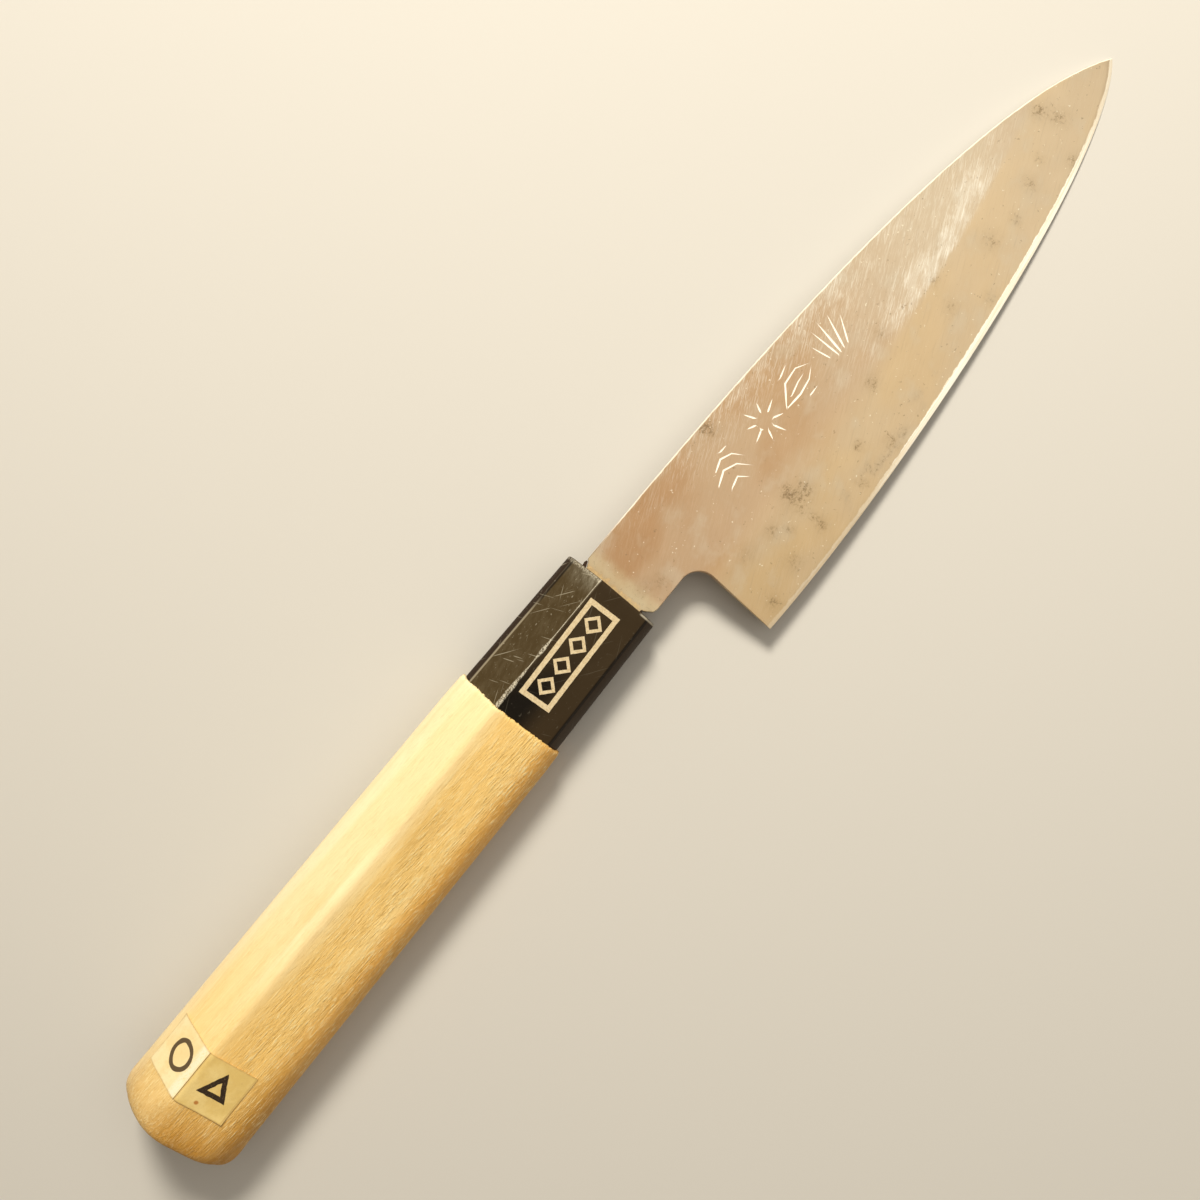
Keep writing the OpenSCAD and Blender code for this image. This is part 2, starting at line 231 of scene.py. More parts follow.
class Build:
    """Collects vertices and faces of one solid, in knife axes."""

    def __init__(self):
        self.verts, self.faces = [], []

    def add(self, verts, faces):
        base = sum(len(v) for v in self.verts)
        self.verts.append(np.asarray(verts, float))
        self.faces += [[base + i for i in f] for f in faces]

    def tube(self, rings):
        """Quads through closed rings of equal length."""
        n = len(rings[0])
        quads = [[j * n + i, j * n + (i + 1) % n, (j + 1) * n + (i + 1) % n, (j + 1) * n + i]
                 for j in range(len(rings) - 1) for i in range(n)]
        self.add(np.concatenate(rings), quads)

    def cap(self, loops, lift, extra=(), lines=()):
        """Triangles between closed plane loops; lift(flat points) gives them in knife axes."""
        points, edges = [], []
        for path, closed in [(loop, True) for loop in loops] + [(path, False) for path in lines]:
            base, n = len(points), len(path)
            points += [tuple(p) for p in path]
            edges += [(base + i, base + (i + 1) % n) for i in range(n if closed else n - 1)]
        points += [tuple(p) for p in extra]
        out = delaunay_2d_cdt([Vector(p) for p in points], edges, [], 0, 1e-6)
        flat = np.array([tuple(v) for v in out[0]])
        tris = np.array([f for f in out[2] if len(f) == 3])
        middle = flat[tris].mean(axis=1)
        keep = inside(middle, np.asarray(loops[0]))
        for hole in loops[1:]:
            keep &= ~inside(middle, np.asarray(hole))
        ab, ac = (flat[tris[:, i]] - flat[tris[:, 0]] for i in (1, 2))
        doubled_area = np.abs(ab[:, 0] * ac[:, 1] - ab[:, 1] * ac[:, 0])
        tris = tris[keep & (doubled_area > 1e-9)]
        self.add(lift(flat), tris.tolist())

    def flat_cap(self, x, loops):
        self.cap(loops, lambda flat: with_x(x, flat))

    def piece(self, name, material, nodes, sharp, attributes=None):
        """Makes the object, in the row frame, riding on the one body."""
        mesh = bpy.data.meshes.new(name)
        mesh.from_pydata(np.concatenate(self.verts).tolist(), [], self.faces)
        bm = bmesh.new()
        bm.from_mesh(mesh)
        bmesh.ops.remove_doubles(bm, verts=bm.verts, dist=WELD)
        bmesh.ops.dissolve_degenerate(bm, edges=bm.edges, dist=SPECK)
        loose = [v for v in bm.verts if not v.link_faces]
        bmesh.ops.delete(bm, geom=loose, context="VERTS")
        bmesh.ops.recalc_face_normals(bm, faces=bm.faces)
        bm.to_mesh(mesh)
        bm.free()
        co = np.empty(len(mesh.vertices) * 3)
        mesh.vertices.foreach_get("co", co)
        co = co.reshape(-1, 3)
        layer = mesh.attributes.new("knife", "FLOAT_VECTOR", "POINT")
        layer.data.foreach_set("vector", co.ravel())
        for key, field in (attributes or {}).items():
            values = np.asarray(field(co), float)
            mesh.attributes.new(key, "FLOAT", "POINT").data.foreach_set("value", values)
        mesh.vertices.foreach_set("co", at_rest(co).ravel())
        mesh.shade_smooth()
        mesh.set_sharp_from_angle(angle=math.radians(sharp))
        mesh.materials.append(material)
        mesh.update()
        obj = add_object(name, mesh)
        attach(obj, "root")
        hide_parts(*nodes)
        return obj


# ---------------- blade shape
EDGE = cubic(HEEL, *EDGE_PULL, TIP, 181)
EDGE[:, 1] = np.maximum(EDGE[:, 1], LOWEST + 0.002)
SPINE = cubic(SPINE_START, *SPINE_PULL, TIP, 201)


def edge_y(x):
    return np.interp(x, EDGE[:, 0], EDGE[:, 1])


def spine_y(x):
    return np.interp(x, SPINE[:, 0], SPINE[:, 1])


# Chisel-cut ornaments: four small sprigs of tapered strokes in a column along the spine.
# Each stroke is a path in mm from the ornament's middle, and its widest width.
NEEDLES = [([(-2.4, -1.6), (-0.2, 2.6)], 0.42), ([(-1.9, -1.8), (1.2, 2.1)], 0.5),
           ([(-1.2, -2.1), (2.6, 1.0)], 0.46), ([(-0.6, -2.6), (3.1, -0.7)], 0.4),
           ([(-3.1, -0.6), (-2.2, 2.2)], 0.36)]
WAVES = [([(-2.8, -1.2), (-1.2, 0.3), (0.8, 0.2), (2.6, -1.1)], 0.44),
         ([(-2.2, 0.6), (-0.8, 1.8), (0.9, 1.7), (2.3, 0.6)], 0.42),
         ([(-1.4, -2.3), (0.0, -1.3), (1.5, -2.2)], 0.4), ([(-0.4, 2.6), (0.9, 3.0)], 0.36)]
LEAF = [([(-3.1, -1.4), (-1.2, 0.9), (1.2, 1.5), (3.2, 0.7)], 0.42),
        ([(-3.0, -1.7), (-0.6, -1.5), (1.6, -0.8), (3.1, 0.4)], 0.44),
        ([(-1.7, -0.9), (0.2, -0.1), (1.7, 0.3)], 0.36),
        ([(-1.2, 1.9), (0.6, 2.7)], 0.36), ([(0.2, -2.5), (1.9, -2.2)], 0.34)]
BURST = [([1.3 * way, reach * way], 0.42)
         for way, reach in zip(round_points([5, 48, 97, 139, 183, 229, 272, 318]),
                               (3.2, 2.7, 3.0, 2.6, 3.1, 2.7, 3.2, 2.8))]
ORNAMENTS = [((60.0, -1.2), 28, NEEDLES), ((49.4, -2.0), -8, LEAF),
             ((40.4, -2.0), 15, BURST), ((30.3, -2.8), -20, WAVES)]
STROKE_SCALE, CUT_DEPTH = 1.34, 0.09


def strokes():
    """Every stroke as (points, widths), in knife axes."""
    made = []
    for centre, turn, paths in ORNAMENTS:
        c, s = math.cos(math.radians(turn)), math.sin(math.radians(turn))
        for path, width in paths:
            p = np.asarray(path, float)
            t = np.linspace(0, 1, len(p))
            fine = np.linspace(0, 1, 7)
            p = np.column_stack([np.interp(fine, t, p[:, 0]), np.interp(fine, t, p[:, 1])])
            p = STROKE_SCALE * p @ np.array([[c, s], [-s, c]]) + centre
            taper = np.array([0.6, 1.0, 0.95, 0.85, 0.7, 0.5, 0.15])
            made.append((p, width * taper))
    return made


STROKES = strokes()


def cut(points):
    """How deep the chisel strokes go at each point, from 0 to 1."""
    x, y = points[:, 0], points[:, 1]
    near = (x > 24) & (x < 68) & (y > -9) & (y < 6)
    p = points[near, :2]
    found = np.zeros(len(p))
    for path, widths in STROKES:
        for a, b, wa, wb in zip(path[:-1], path[1:], widths[:-1], widths[1:]):
            gap, t = off_segment(p, a, b)
            w = wa + (wb - wa) * t
            found = np.maximum(found, np.clip(1 - 2 * gap / w, 0, 1) * w / 0.5)
    deep = np.zeros(len(points))
    deep[near] = found
    return deep


PATCHES = Ripple(5, (9, 5), 10)
HAND_GRIND = Ripple(3, (26, 14))
FINE_GRIND = Ripple(4, (9, 5))


def face_z(points):
    """Height of the ground face above the back, without the chisel cuts."""
    x, y = points[:, 0], points[:, 1]
    t = np.interp(x, FLAT_X, FLAT_T)
    d = y - edge_y(x)
    slope = (t - MICRO_T) / (BEVEL_W - MICRO_W)
    share = np.clip((d - MICRO_W) / (BEVEL_W - MICRO_W), 0, 1)
    bevel = MICRO_T + (d - MICRO_W) * slope + 0.05 * np.sin(math.pi * share)
    soft = 0.05
    high = -soft * np.logaddexp(-t / soft, -bevel / soft)
    high = np.where(bevel > t + 0.6, t, np.where(bevel < t - 0.6, bevel, high))
    half = 0.5 * MICRO_W
    micro = LAND + MICRO_SLOPES[0] * np.minimum(d, half) + MICRO_SLOPES[1] * np.maximum(d - half, 0)
    z = np.minimum(high, np.where(x > HEEL[0] - 0.5, micro, 9))
    wave = 0.012 * HAND_GRIND(x, y) + 0.002 * FINE_GRIND(x, y)
    return z + wave * step(0.3, 2.5, d) * step(-2, 4, x)


def hollow(points):
    """Depth of the hollow in the flat back."""
    x, y = points[:, 0], points[:, 1]
    low, high = edge_y(x), spine_y(x)
    across = (y - low) / np.maximum(high - low, 0.5)
    along = step(14, 30, x) * step(129, 108, x)
    return 0.22 * along * step(0.08, 0.3, across) * step(0.95, 0.72, across)


def legs(*stops):
    """Straight runs through stops of (point, pieces, radius); the last stop is a point alone."""
    return [(line(a, b[0] if len(b) == 3 else b, n), radius)
            for (a, n, radius), b in zip(stops[:-1], stops[1:])]


def blade_outline():
    """Closed outline, counter-clockwise, with the edge rounding at each point."""
    lean = math.atan2(HEEL_X - HEEL[0], NECK_Y - HEEL[1])
    centre = np.array([HEEL_X - 0.15 - NECK_R, NECK_Y - NECK_R])
    arc = centre + NECK_R * round_points(np.linspace(90, -math.degrees(lean), 15))
    end, root = TANG_END_H / 2, TANG_H / 2
    parts = [
        *legs(((-TANG_LEN, end), 4, 0.15), ((-TANG_LEN, -end), 50, 0.15),
              ((ROOT_X, -root), 4, 0.15), ((SHOULDER_X, -root), 4, 0.12), ((0.9, -7.2), 4, 0.15),
              ((1.5, -8.1), 4, 0.18), ((2.5, NECK_Y), 14, 0.18), arc[0]),
        (arc[:-1], 0.18),
        *legs((arc[-1], 34, 0.12), HEEL),
        (EDGE[:-1], 0.02),
        (SPINE[:0:-1], 0.28),
        *legs((SPINE_START, 3, 0.06), ((1.2, 6.4), 3, 0.06), (SHOULDER_X, 6.1)),
        *legs(((SHOULDER_X, 6.0), 4, 0.15), ((ROOT_X, root), 50, 0.15), (-TANG_LEN, end)),
    ]
    radii = np.concatenate([np.full(len(p), r) for p, r in parts])
    return np.concatenate([p for p, _ in parts]), radii


def inset(points, by):
    """Moves each point of a counter-clockwise loop inward by its own distance."""
    left = to_left(unit(np.roll(points, -1, axis=0) - points))
    left_before = np.roll(left, 1, axis=0)
    dot = np.sum(left * left_before, axis=1)
    return points + (left + left_before) / np.maximum(1 + dot, 0.45)[:, None] * by[:, None]


def make_blade(material):
    loop, radii = blade_outline()
    tall = face_z(loop)
    top_r = smooth_loop(np.minimum(radii, 0.4 * np.maximum(tall, 0.04)), 4)
    low_r = np.minimum(smooth_loop(np.minimum(0.5 * radii, 0.25 * np.maximum(tall, 0.04)), 4), 0.2)
    build = Build()

    def bottom(x):
        return BACK_Z + np.where(x < SHOULDER_X, TANG_RELIEF, 0)

    rings = []
    steps = np.radians([0, 18, 36, 54, 72, 90])
    for a in steps[::-1]:
        flat = inset(loop, low_r * (1 - math.cos(a)))
        rings.append(np.column_stack([flat, bottom(flat[:, 0]) + low_r * (1 - math.sin(a))]))
    low_loop = rings[0][:, :2]
    inner = inset(loop, top_r)
    top = BACK_Z + face_z(inner)
    for a in steps:
        flat = inset(loop, top_r * (1 - math.cos(a)))
        rings.append(np.column_stack([flat, top - top_r * (1 - math.sin(a))]))
    for more in (0.05, 0.12):
        inner = inset(loop, top_r + more)
        rings.append(np.column_stack([inner, BACK_Z + face_z(inner)]))
    build.tube(rings)

    # the ground face: rows that follow the edge, and the chisel strokes as exact lines
    xs = np.arange(HEEL[0] + 1.2, TIP[0] - 1, 0.9)
    rows = np.concatenate([[0.3, 0.55, 0.8, 1.5, 2.2, 3.2], np.arange(4.4, 11.8, 1.2),
                           np.arange(11.9, 15, 0.35), np.arange(15.4, 34, 1.1)])
    grid = np.array([(x + 0.3 * (i % 2), edge_y(x + 0.3 * (i % 2)) + d)
                     for i, d in enumerate(rows) for x in xs])
    neck = lattice(np.arange(1.2, HEEL[0] + 1, 1.0), np.arange(-24.5, 6.8, 1.0))
    tang = lattice(np.arange(-86, 0, 4.0), np.arange(-5, 5.1, 2.5))
    loose = well_inside(np.concatenate([grid, neck, tang]), inner, 0.16)
    lines = [np.column_stack([xs, edge_y(xs) + d]) for d in (0.55, MICRO_W)]
    lines = [p[inside(p, inner)] for p in lines]
    outlines = []
    for path, widths in STROKES:
        normal = to_left(unit(np.gradient(path, axis=0)))
        for reach in (widths / 2, widths / 2 + 0.06):
            side = normal * reach[:, None]
            outlines.append(np.concatenate([path + side, (path - side)[::-1], (path + side)[:1]]))
        outlines.append(path)
    clear = np.min([gap_to(loose, p, False) for p in outlines], axis=0) > 0.16
    loose = loose[clear]

    def lift_top(flat):
        return np.column_stack([flat, BACK_Z + face_z(flat) - CUT_DEPTH * cut(flat)])

    build.cap([inner], lift_top, loose, lines + outlines)
    under = loose[gap_to(loose, low_loop) > 0.3]

    def lift_back(flat):
        return np.column_stack([flat, bottom(flat[:, 0]) + hollow(flat)])

    build.cap([low_loop], lift_back, under)

    def up(co):
        return (co[:, 2] > BACK_Z + 0.5 * face_z(co)).astype(float)

    attributes = {
        "cut": lambda co: cut(co) * up(co),
        "from_edge": lambda co: co[:, 1] - edge_y(co[:, 0]),
        "from_spine": lambda co: spine_y(co[:, 0]) - co[:, 1],
        "up": up,
        "stain": lambda co: stains(co) * up(co),
        "scratch_sheen": scratch_sheen_field,
    }
    return build.piece("blade_body", material, ["blade"], 28, attributes)


# Old spots on the ground face: place, size and strength.
SPOTS = [((33.0, 4.6), 1.0, 0.9), ((32.4, 5.8), 0.6, 0.8), ((32.9, -13.3), 1.1, 0.8),
         ((34.6, -15.2), 1.9, 0.42), ((32.6, -17.1), 1.1, 0.4), ((35.9, -15.1), 0.8, 0.5),
         ((32.9, -19.4), 0.5, 0.7), ((32.9, -21.5), 0.8, 0.9), ((28.4, -17.7), 0.6, 0.7),
         ((26.0, -15.5), 0.9, 0.6), ((43.5, -23.0), 0.6, 0.8), ((42.8, -22.0), 0.5, 0.6),
         ((48.3, -18.0), 0.5, 0.8), ((47.3, -17.5), 0.4, 0.8), ((24.5, -22.0), 1.4, 0.5),
         ((58.0, -12.5), 1.1, 0.6), ((52.4, -22.0), 1.0, 0.7), ((20.0, -14.5), 1.3, 0.35),
         ((115.7, -4.9), 1.1, 0.8), ((117.5, -8.6), 1.3, 0.6), ((113.0, -15.6), 0.9, 0.7),
         ((78.0, -15.0), 1.0, 0.45), ((16.6, -23.8), 0.9, 0.8), ((104.5, -12.0), 1.2, 0.5),
         ((6.5, -5.6), 1.3, 0.45), ((3.0, -4.0), 1.2, 0.5), ((92.0, -13.0), 1.4, 0.5),
         ((1.3, -7.5), 0.6, 1.0), ((66.0, -8.0), 1.0, 0.5), ((84.0, -19.5), 0.8, 0.5),
         ((79.5, -9.4), 0.8, 0.6), ((98.0, -14.0), 0.8, 0.6), ((109.0, -10.5), 0.7, 0.6)]


def stains(co):
    total = np.zeros(len(co))
    for mid, size, strength in SPOTS:
        total += strength * bell(co[:, 0], co[:, 1], mid, (1.41 * size, 1.41 * size))
    return np.clip(total, 0, 1)


def scratch_sheen_field(co):
    """How strongly the slanting scratches show, and how far the flat is lightened there as a painted
    highlight.
    """
    x, y = co[:, 0], co[:, 1]
    above = y - edge_y(x) - BEVEL_W
    ragged = 1.5 * PATCHES(x, y)
    patch = step(-0.5, 0.5, above) * step(6.5, 0.8, above + ragged)
    patch = patch * step(60, 84, x + 2 * ragged) * step(107, 97, x + ragged)
    wide = 0.35 * step(-0.2, 1.5, above) * step(45, 70, x) * step(122, 104, x)
    back = 0.62 * bell(x, spine_y(x) - y, (46, 0.9), (26, 4.2))
    return np.clip(patch + wide + back + 0.06, 0, 1)


# ---------------- ridged handle section
def bezier(a, b, c, n):
    t = np.linspace(0, 1, n)[:, None]
    a, b, c = (np.asarray(v, float) for v in (a, b, c))
    return (1 - t) ** 2 * a + 2 * t * (1 - t) * b + t * t * c


def facet_of(side):
    """Unit direction from the ridge down one facet, and the facet's aim at unit width."""
    aim = np.array([0.5, SPINE_SIDE_K]) if side > 0 else np.array([-0.5, EDGE_SIDE_K])
    way = aim - RIDGE
    return way / np.linalg.norm(way), aim


RIDGE = np.array([RIDGE_K, TOP_K])


def half_profile(side, corner, soft, blunt):
    """Unit-width points from the rounded ridge down one side to the widest point."""
    facet, aim = facet_of(side)
    other, _ = facet_of(-side)
    turn = RIDGE + (aim - RIDGE) * (corner - side * RIDGE_K) / (0.5 - side * RIDGE_K)
    widest = np.array([side * 0.5, 0.0])
    drop = np.linalg.norm(widest - turn)
    start, end = turn - facet * soft, turn + (widest - turn) / drop * min(soft, 0.6 * drop)
    pull = np.array([side * 0.5, 0.35 * end[1]])
    crest = bezier(RIDGE + other * blunt, RIDGE, RIDGE + facet * blunt, 25)[12:]
    return np.concatenate([
        crest,
        np.linspace(RIDGE + facet * (blunt + 0.004), start, 44),
        bezier(start, turn, end, 13)[1:],
        bezier(end, pull, widest, 10)[1:],
    ])


class Section:
    """The ridged section with its own corners. Points run counter-clockwise from the ridge."""

    def __init__(self, corners, soft, blunt, passes=0):
        self.half = {s: half_profile(s, c, f, blunt) for s, c, f in zip((1, -1), corners, soft)}
        c, s = round_points(np.linspace(0, 180, 91)[1:-1]).T
        belly = np.column_stack([-0.5 * np.sign(c) * np.abs(c) ** (2 / BELLY_N),
                                 -LOW_K * s ** (2 / BELLY_N)])
        loop = np.concatenate([self.half[-1], belly, self.half[1][:0:-1]])
        self.loop = smooth_loop(loop, passes)

    def ring(self, x, width, out=0.0):
        """One ring, moved out by out mm along its own normals, alike or point by point."""
        p = self.loop * width
        ahead = unit(np.roll(p, -1, axis=0) - np.roll(p, 1, axis=0))
        return with_x(x, p - to_left(ahead) * np.reshape(out, (-1, 1)))

    def on(self, side, x, down, width, height):
        """Points on one facet: down mm from the ridge, height mm above the surface."""
        half = self.half[side]
        walk = np.concatenate([[0], np.cumsum(np.linalg.norm(np.diff(half, axis=0), axis=1))])
        out = to_left(unit(np.gradient(half, axis=0))) * side
        s = np.asarray(down, float) / width
        y, z = (np.interp(np.abs(s), walk, half[:, i]) for i in (0, 1))
        ny, nz = (np.interp(np.abs(s), walk, out[:, i]) for i in (0, 1))
        return np.column_stack([x, y * width + ny * height, z * width + nz * height])


WOOD_SECTION = Section((0.44, 0.43), (0.10, 0.10), 0.05, 12)
BUTT_SECTION = Section((0.40, 0.38), (0.12, 0.15), 0.20)
RESIN_SECTION = Section((0.441, 0.415), (0.012, 0.016), 0.010)


def wood_width(x):
    behind = -np.asarray(x, float) - FERRULE_LEN
    full = WOOD_W + (BUTT_W - WOOD_W) * behind / (HANDLE_LEN - FERRULE_LEN)
    return full - WOOD_EASE * np.clip(1 - behind / EASE_LEN, 0, 1) ** 1.6 - WOOD_SKIN


def ferrule_width(x):
    return FERRULE_W + (FERRULE_BACK_W - FERRULE_W) * -np.asarray(x, float) / FERRULE_LEN


def past_ridge(points, width):
    """How far each point lies beyond the ridge, towards the spine side."""
    return points[:, 1] - RIDGE_K * width(points[:, 0])


def slot_loop(height, thick):
    """Rounded slot outline in y and z, counter-clockwise."""
    r = 0.45
    middle = np.array([height / 2 - r, thick / 2 - r])
    quarters = (((1, 1), 0), ((-1, 1), 90), ((-1, -1), 180), ((1, -1), 270))
    return np.concatenate([middle * signs + r * round_points(np.linspace(start, start + 90, 10))
                           for signs, start in quarters])


def wood_ring(x, width, out=0.0):
    """A ring of the wood, whose corners are sanded rounder towards the butt."""
    share = float(step(EASED_FROM, EASED_FROM - 6.5, x))
    section = copy.copy(WOOD_SECTION)
    section.loop = (1 - share) * WOOD_SECTION.loop + share * BUTT_SECTION.loop
    return section.ring(x, width, out)


def make_ferrule(material):
    build = Build()
    dents = Ripple(11, (9, 4, 4))
    round_r = 0.38
    rings = [RESIN_SECTION.ring(-FERRULE_LEN, ferrule_width(-FERRULE_LEN), -0.15),
             RESIN_SECTION.ring(-FERRULE_LEN + 0.12, ferrule_width(-FERRULE_LEN), -RESIN_SKIN)]
    for x in np.linspace(-FERRULE_LEN + 0.4, -round_r, 60):
        ring = RESIN_SECTION.ring(x, ferrule_width(x), -RESIN_SKIN)
        push = 0.012 * dents(*ring.T)
        rings.append(RESIN_SECTION.ring(x, ferrule_width(x), push - RESIN_SKIN))
    for a in np.radians([18, 36, 54, 72, 90]):
        x = -round_r + round_r * math.sin(a)
        rings.append(RESIN_SECTION.ring(x, FERRULE_W, -RESIN_SKIN - round_r * (1 - math.cos(a))))
    build.tube(rings)
    front = rings[-1][:, 1:]
    slot = slot_loop(SLOT_H, SLOT_T)
    lip = slot_loop(SLOT_H + 0.3, SLOT_T + 0.3)
    build.flat_cap(0, [front, lip])
    build.tube([with_x(0, lip), with_x(-0.15, slot), with_x(-1.2, slot), with_x(-FRONT_WALL, slot)])
    cave_front = RESIN_SECTION.ring(-FRONT_WALL, FERRULE_W, -FERRULE_WALL)
    cave_back = RESIN_SECTION.ring(-FERRULE_LEN, FERRULE_BACK_W, -FERRULE_WALL)
    build.flat_cap(-FRONT_WALL, [cave_front[:, 1:], slot])
    build.tube([cave_front, cave_back])
    build.tube([cave_back, rings[0]])
    marks = {"ridge": lambda co: past_ridge(co, ferrule_width),
             "across": lambda co: co[:, 1] / ferrule_width(co[:, 0]),
             "up": lambda co: (co[:, 2] > 0.05).astype(float)}
    return build.piece("ferrule_sleeve", material, ["ferrule"], 34, marks)


def make_grip(material):
    build = Build()
    plane = Ripple(21, (60, 6, 6))
    fibre = Ripple(22, (9, 0.9, 0.9), 40)
    fuzz = Ripple(26, (2.4, 0.7, 0.7), 60)
    frays = Ripple(23, (0.45, 0.45), 50)
    saw = Ripple(25, (4, 4))

    def worn(ring):
        push = 0.03 * plane(*ring.T) + 0.012 * fibre(*ring.T)
        wide_side = step(0.5, -3, past_ridge(ring, wood_width))
        return push + (0.003 + 0.008 * wide_side) * fuzz(*ring.T) - 0.05

    rings = []
    for a in np.radians(np.linspace(0, 90, 14)):
        x = -HANDLE_LEN + BUTT_ROUND_LEN * (1 - math.cos(a))
        width = wood_width(x) - 2 * BUTT_ROUND * (1 - math.sin(a))
        ring = wood_ring(x, width)
        rings.append(wood_ring(x, width, worn(ring) * math.sin(a)))
    for x in np.arange(-HANDLE_LEN + BUTT_ROUND_LEN + 0.3, -FERRULE_LEN - 0.9, 0.55):
        ring = wood_ring(x, wood_width(x))
        rings.append(wood_ring(x, wood_width(x), worn(ring)))
    last = rings[-1]
    ragged = 0.2 * frays(last[:, 1], last[:, 2]) + 0.08 * saw(last[:, 1], last[:, 2])
    for back, sink in ((0.6, 0.05), (0.25, 0.12), (0.02, 0.3)):
        x = -FERRULE_LEN - back
        ring = WOOD_SECTION.ring(x, wood_width(x), -sink)
        ring[:, 0] = x + np.clip(ragged, -0.4, 0.24) * (1 - back / 0.9)
        rings.append(ring)
    wall = FERRULE_WALL + 0.05
    front = WOOD_SECTION.ring(TENON_X, FERRULE_W, -wall)
    rings += [WOOD_SECTION.ring(-FERRULE_LEN - 0.05, FERRULE_BACK_W, -wall), front]
    build.tube(rings)
    butt = rings[0][:, 1:]
    end_grain = Ripple(24, (2.5, 2.5), 20)
    inner = well_inside(lattice(np.arange(-12, 12, 0.8), np.arange(-9, 11, 0.8)), butt, 0.35)

    def lift_butt(p):
        edge = np.clip(gap_to(p, butt) / 0.8, 0, 1)
        x = -HANDLE_LEN + 0.02 * edge * (1 + end_grain(p[:, 0], p[:, 1]))
        return np.column_stack([x, p])

    build.cap([butt], lift_butt, inner)
    share = -TENON_X / HOLE_LEN
    mouth = slot_loop(SLOT_H * (1 - share) + HOLE_END_H * share, SLOT_T)
    deep = slot_loop(HOLE_END_H, SLOT_T)
    build.flat_cap(TENON_X, [front[:, 1:], mouth])
    build.tube([with_x(TENON_X, mouth), with_x(-HOLE_LEN, deep)])
    build.flat_cap(-HOLE_LEN, [deep])
    marks = {"ridge": lambda co: past_ridge(co, wood_width)}
    return build.piece("grip_wood", material, ["grip"], 40, marks)


def make_bedding(material):
    """The resin bead that shows at both ends of the slot, with the fill behind it. Its bulges at the
    slot's ends fill the gaps beside the neck with dark resin: partly the real bead, partly a painted
    shadow in those gaps.
    """
    build = Build()
    lumps = Ripple(31, (2.0, 1.2), 12)
    loop = slot_loop(SLOT_H - 2 * BED_GAP, SLOT_T - 2 * BED_GAP)
    deep = slot_loop(HOLE_END_H - 2 * BED_GAP, SLOT_T - 2 * BED_GAP)
    build.tube([with_x(BED_GAP - HOLE_LEN, deep), with_x(BED_X, loop)])
    build.flat_cap(BED_GAP - HOLE_LEN, [deep])
    inner = lattice(np.arange(-6.6, 6.65, 0.15), np.arange(-1.4, 1.5, 0.2))

    def face(p):
        edge = np.clip(gap_to(p, loop) / 0.25, 0, 1) ** 0.4
        # the bulges at the slot's ends put dark resin in the gaps beside the neck, partly as painted
        # shadow
        spine_end, edge_end = step(5.9, 6.2, p[:, 0]), step(-6.0, -6.25, p[:, 0])
        bulge = 0.3 * (0.6 + 0.4 * lumps(p[:, 0], p[:, 1])) + 1.8 * spine_end + 1.25 * edge_end
        out = BED_X + edge * bulge
        over = 0.36 * spine_end * step(0.05, 0.3, out)
        return np.column_stack([out, p[:, 0] + over, p[:, 1]])

    build.cap([loop], face, inner[gap_to(inner, loop) > 0.1])
    return build.piece("tang_bedding_resin", material, ["tang_bedding"], 40)


# ---------------- thin pieces on the facets
def sheet(build, place, across, along, thick):
    """A closed sheet over a grid: place(u, v, height) gives points, u and v in mm."""
    u, v = (a.ravel() for a in np.meshgrid(across, along))
    at = np.arange(len(u)).reshape(len(along), len(across))
    quads = np.stack([at[:-1, :-1], at[:-1, 1:], at[1:, 1:], at[1:, :-1]], axis=-1).reshape(-1, 4)
    build.add(place(u, v, thick), quads.tolist())
    build.add(place(u, v, 0), quads[:, ::-1].tolist())
    edge = np.concatenate([at[0], at[1:, -1], at[-1, -2::-1], at[-2:0:-1, 0]])
    build.tube([place(u[edge], v[edge], 0), place(u[edge], v[edge], thick)])


def ribbon(build, place, outer, inner, thick):
    """A closed band between two loops of equal length."""
    rings = [(outer, thick), (inner, thick), (inner, 0), (outer, 0), (outer, thick)]
    build.tube([place(p[:, 0], p[:, 1], h) for p, h in rings])


def polygon_loop(corners, spacing=0.25):
    corners = np.asarray(corners, float)
    return np.concatenate([line(a, b, max(2, int(np.linalg.norm(b - a) / spacing)))
                           for a, b in zip(corners, np.roll(corners, -1, axis=0))])


def on_ferrule(u, v, h):
    """u along the frame, v across it, both from the frame's middle, in mm."""
    c, s = math.cos(math.radians(FOIL_SKEW)), math.sin(math.radians(FOIL_SKEW))
    x = -FOIL_START - FOIL_LEN / 2 + u * c - v * s
    down = FOIL_FROM_RIDGE + FOIL_W / 2 - (v * c + u * s)
    return RESIN_SECTION.on(-1, x, down, ferrule_width(x), h - 0.01)


FOIL_T = 0.045
WOBBLE = Ripple(41, (1.6, 1.6), 20)


def uneven(loop, amount):
    """Roughens a loop's outline a little, as stamped foil is."""
    return loop + amount * np.column_stack([WOBBLE(loop[:, 0], loop[:, 1]),
                                            WOBBLE(loop[:, 1] + 9, loop[:, 0])])


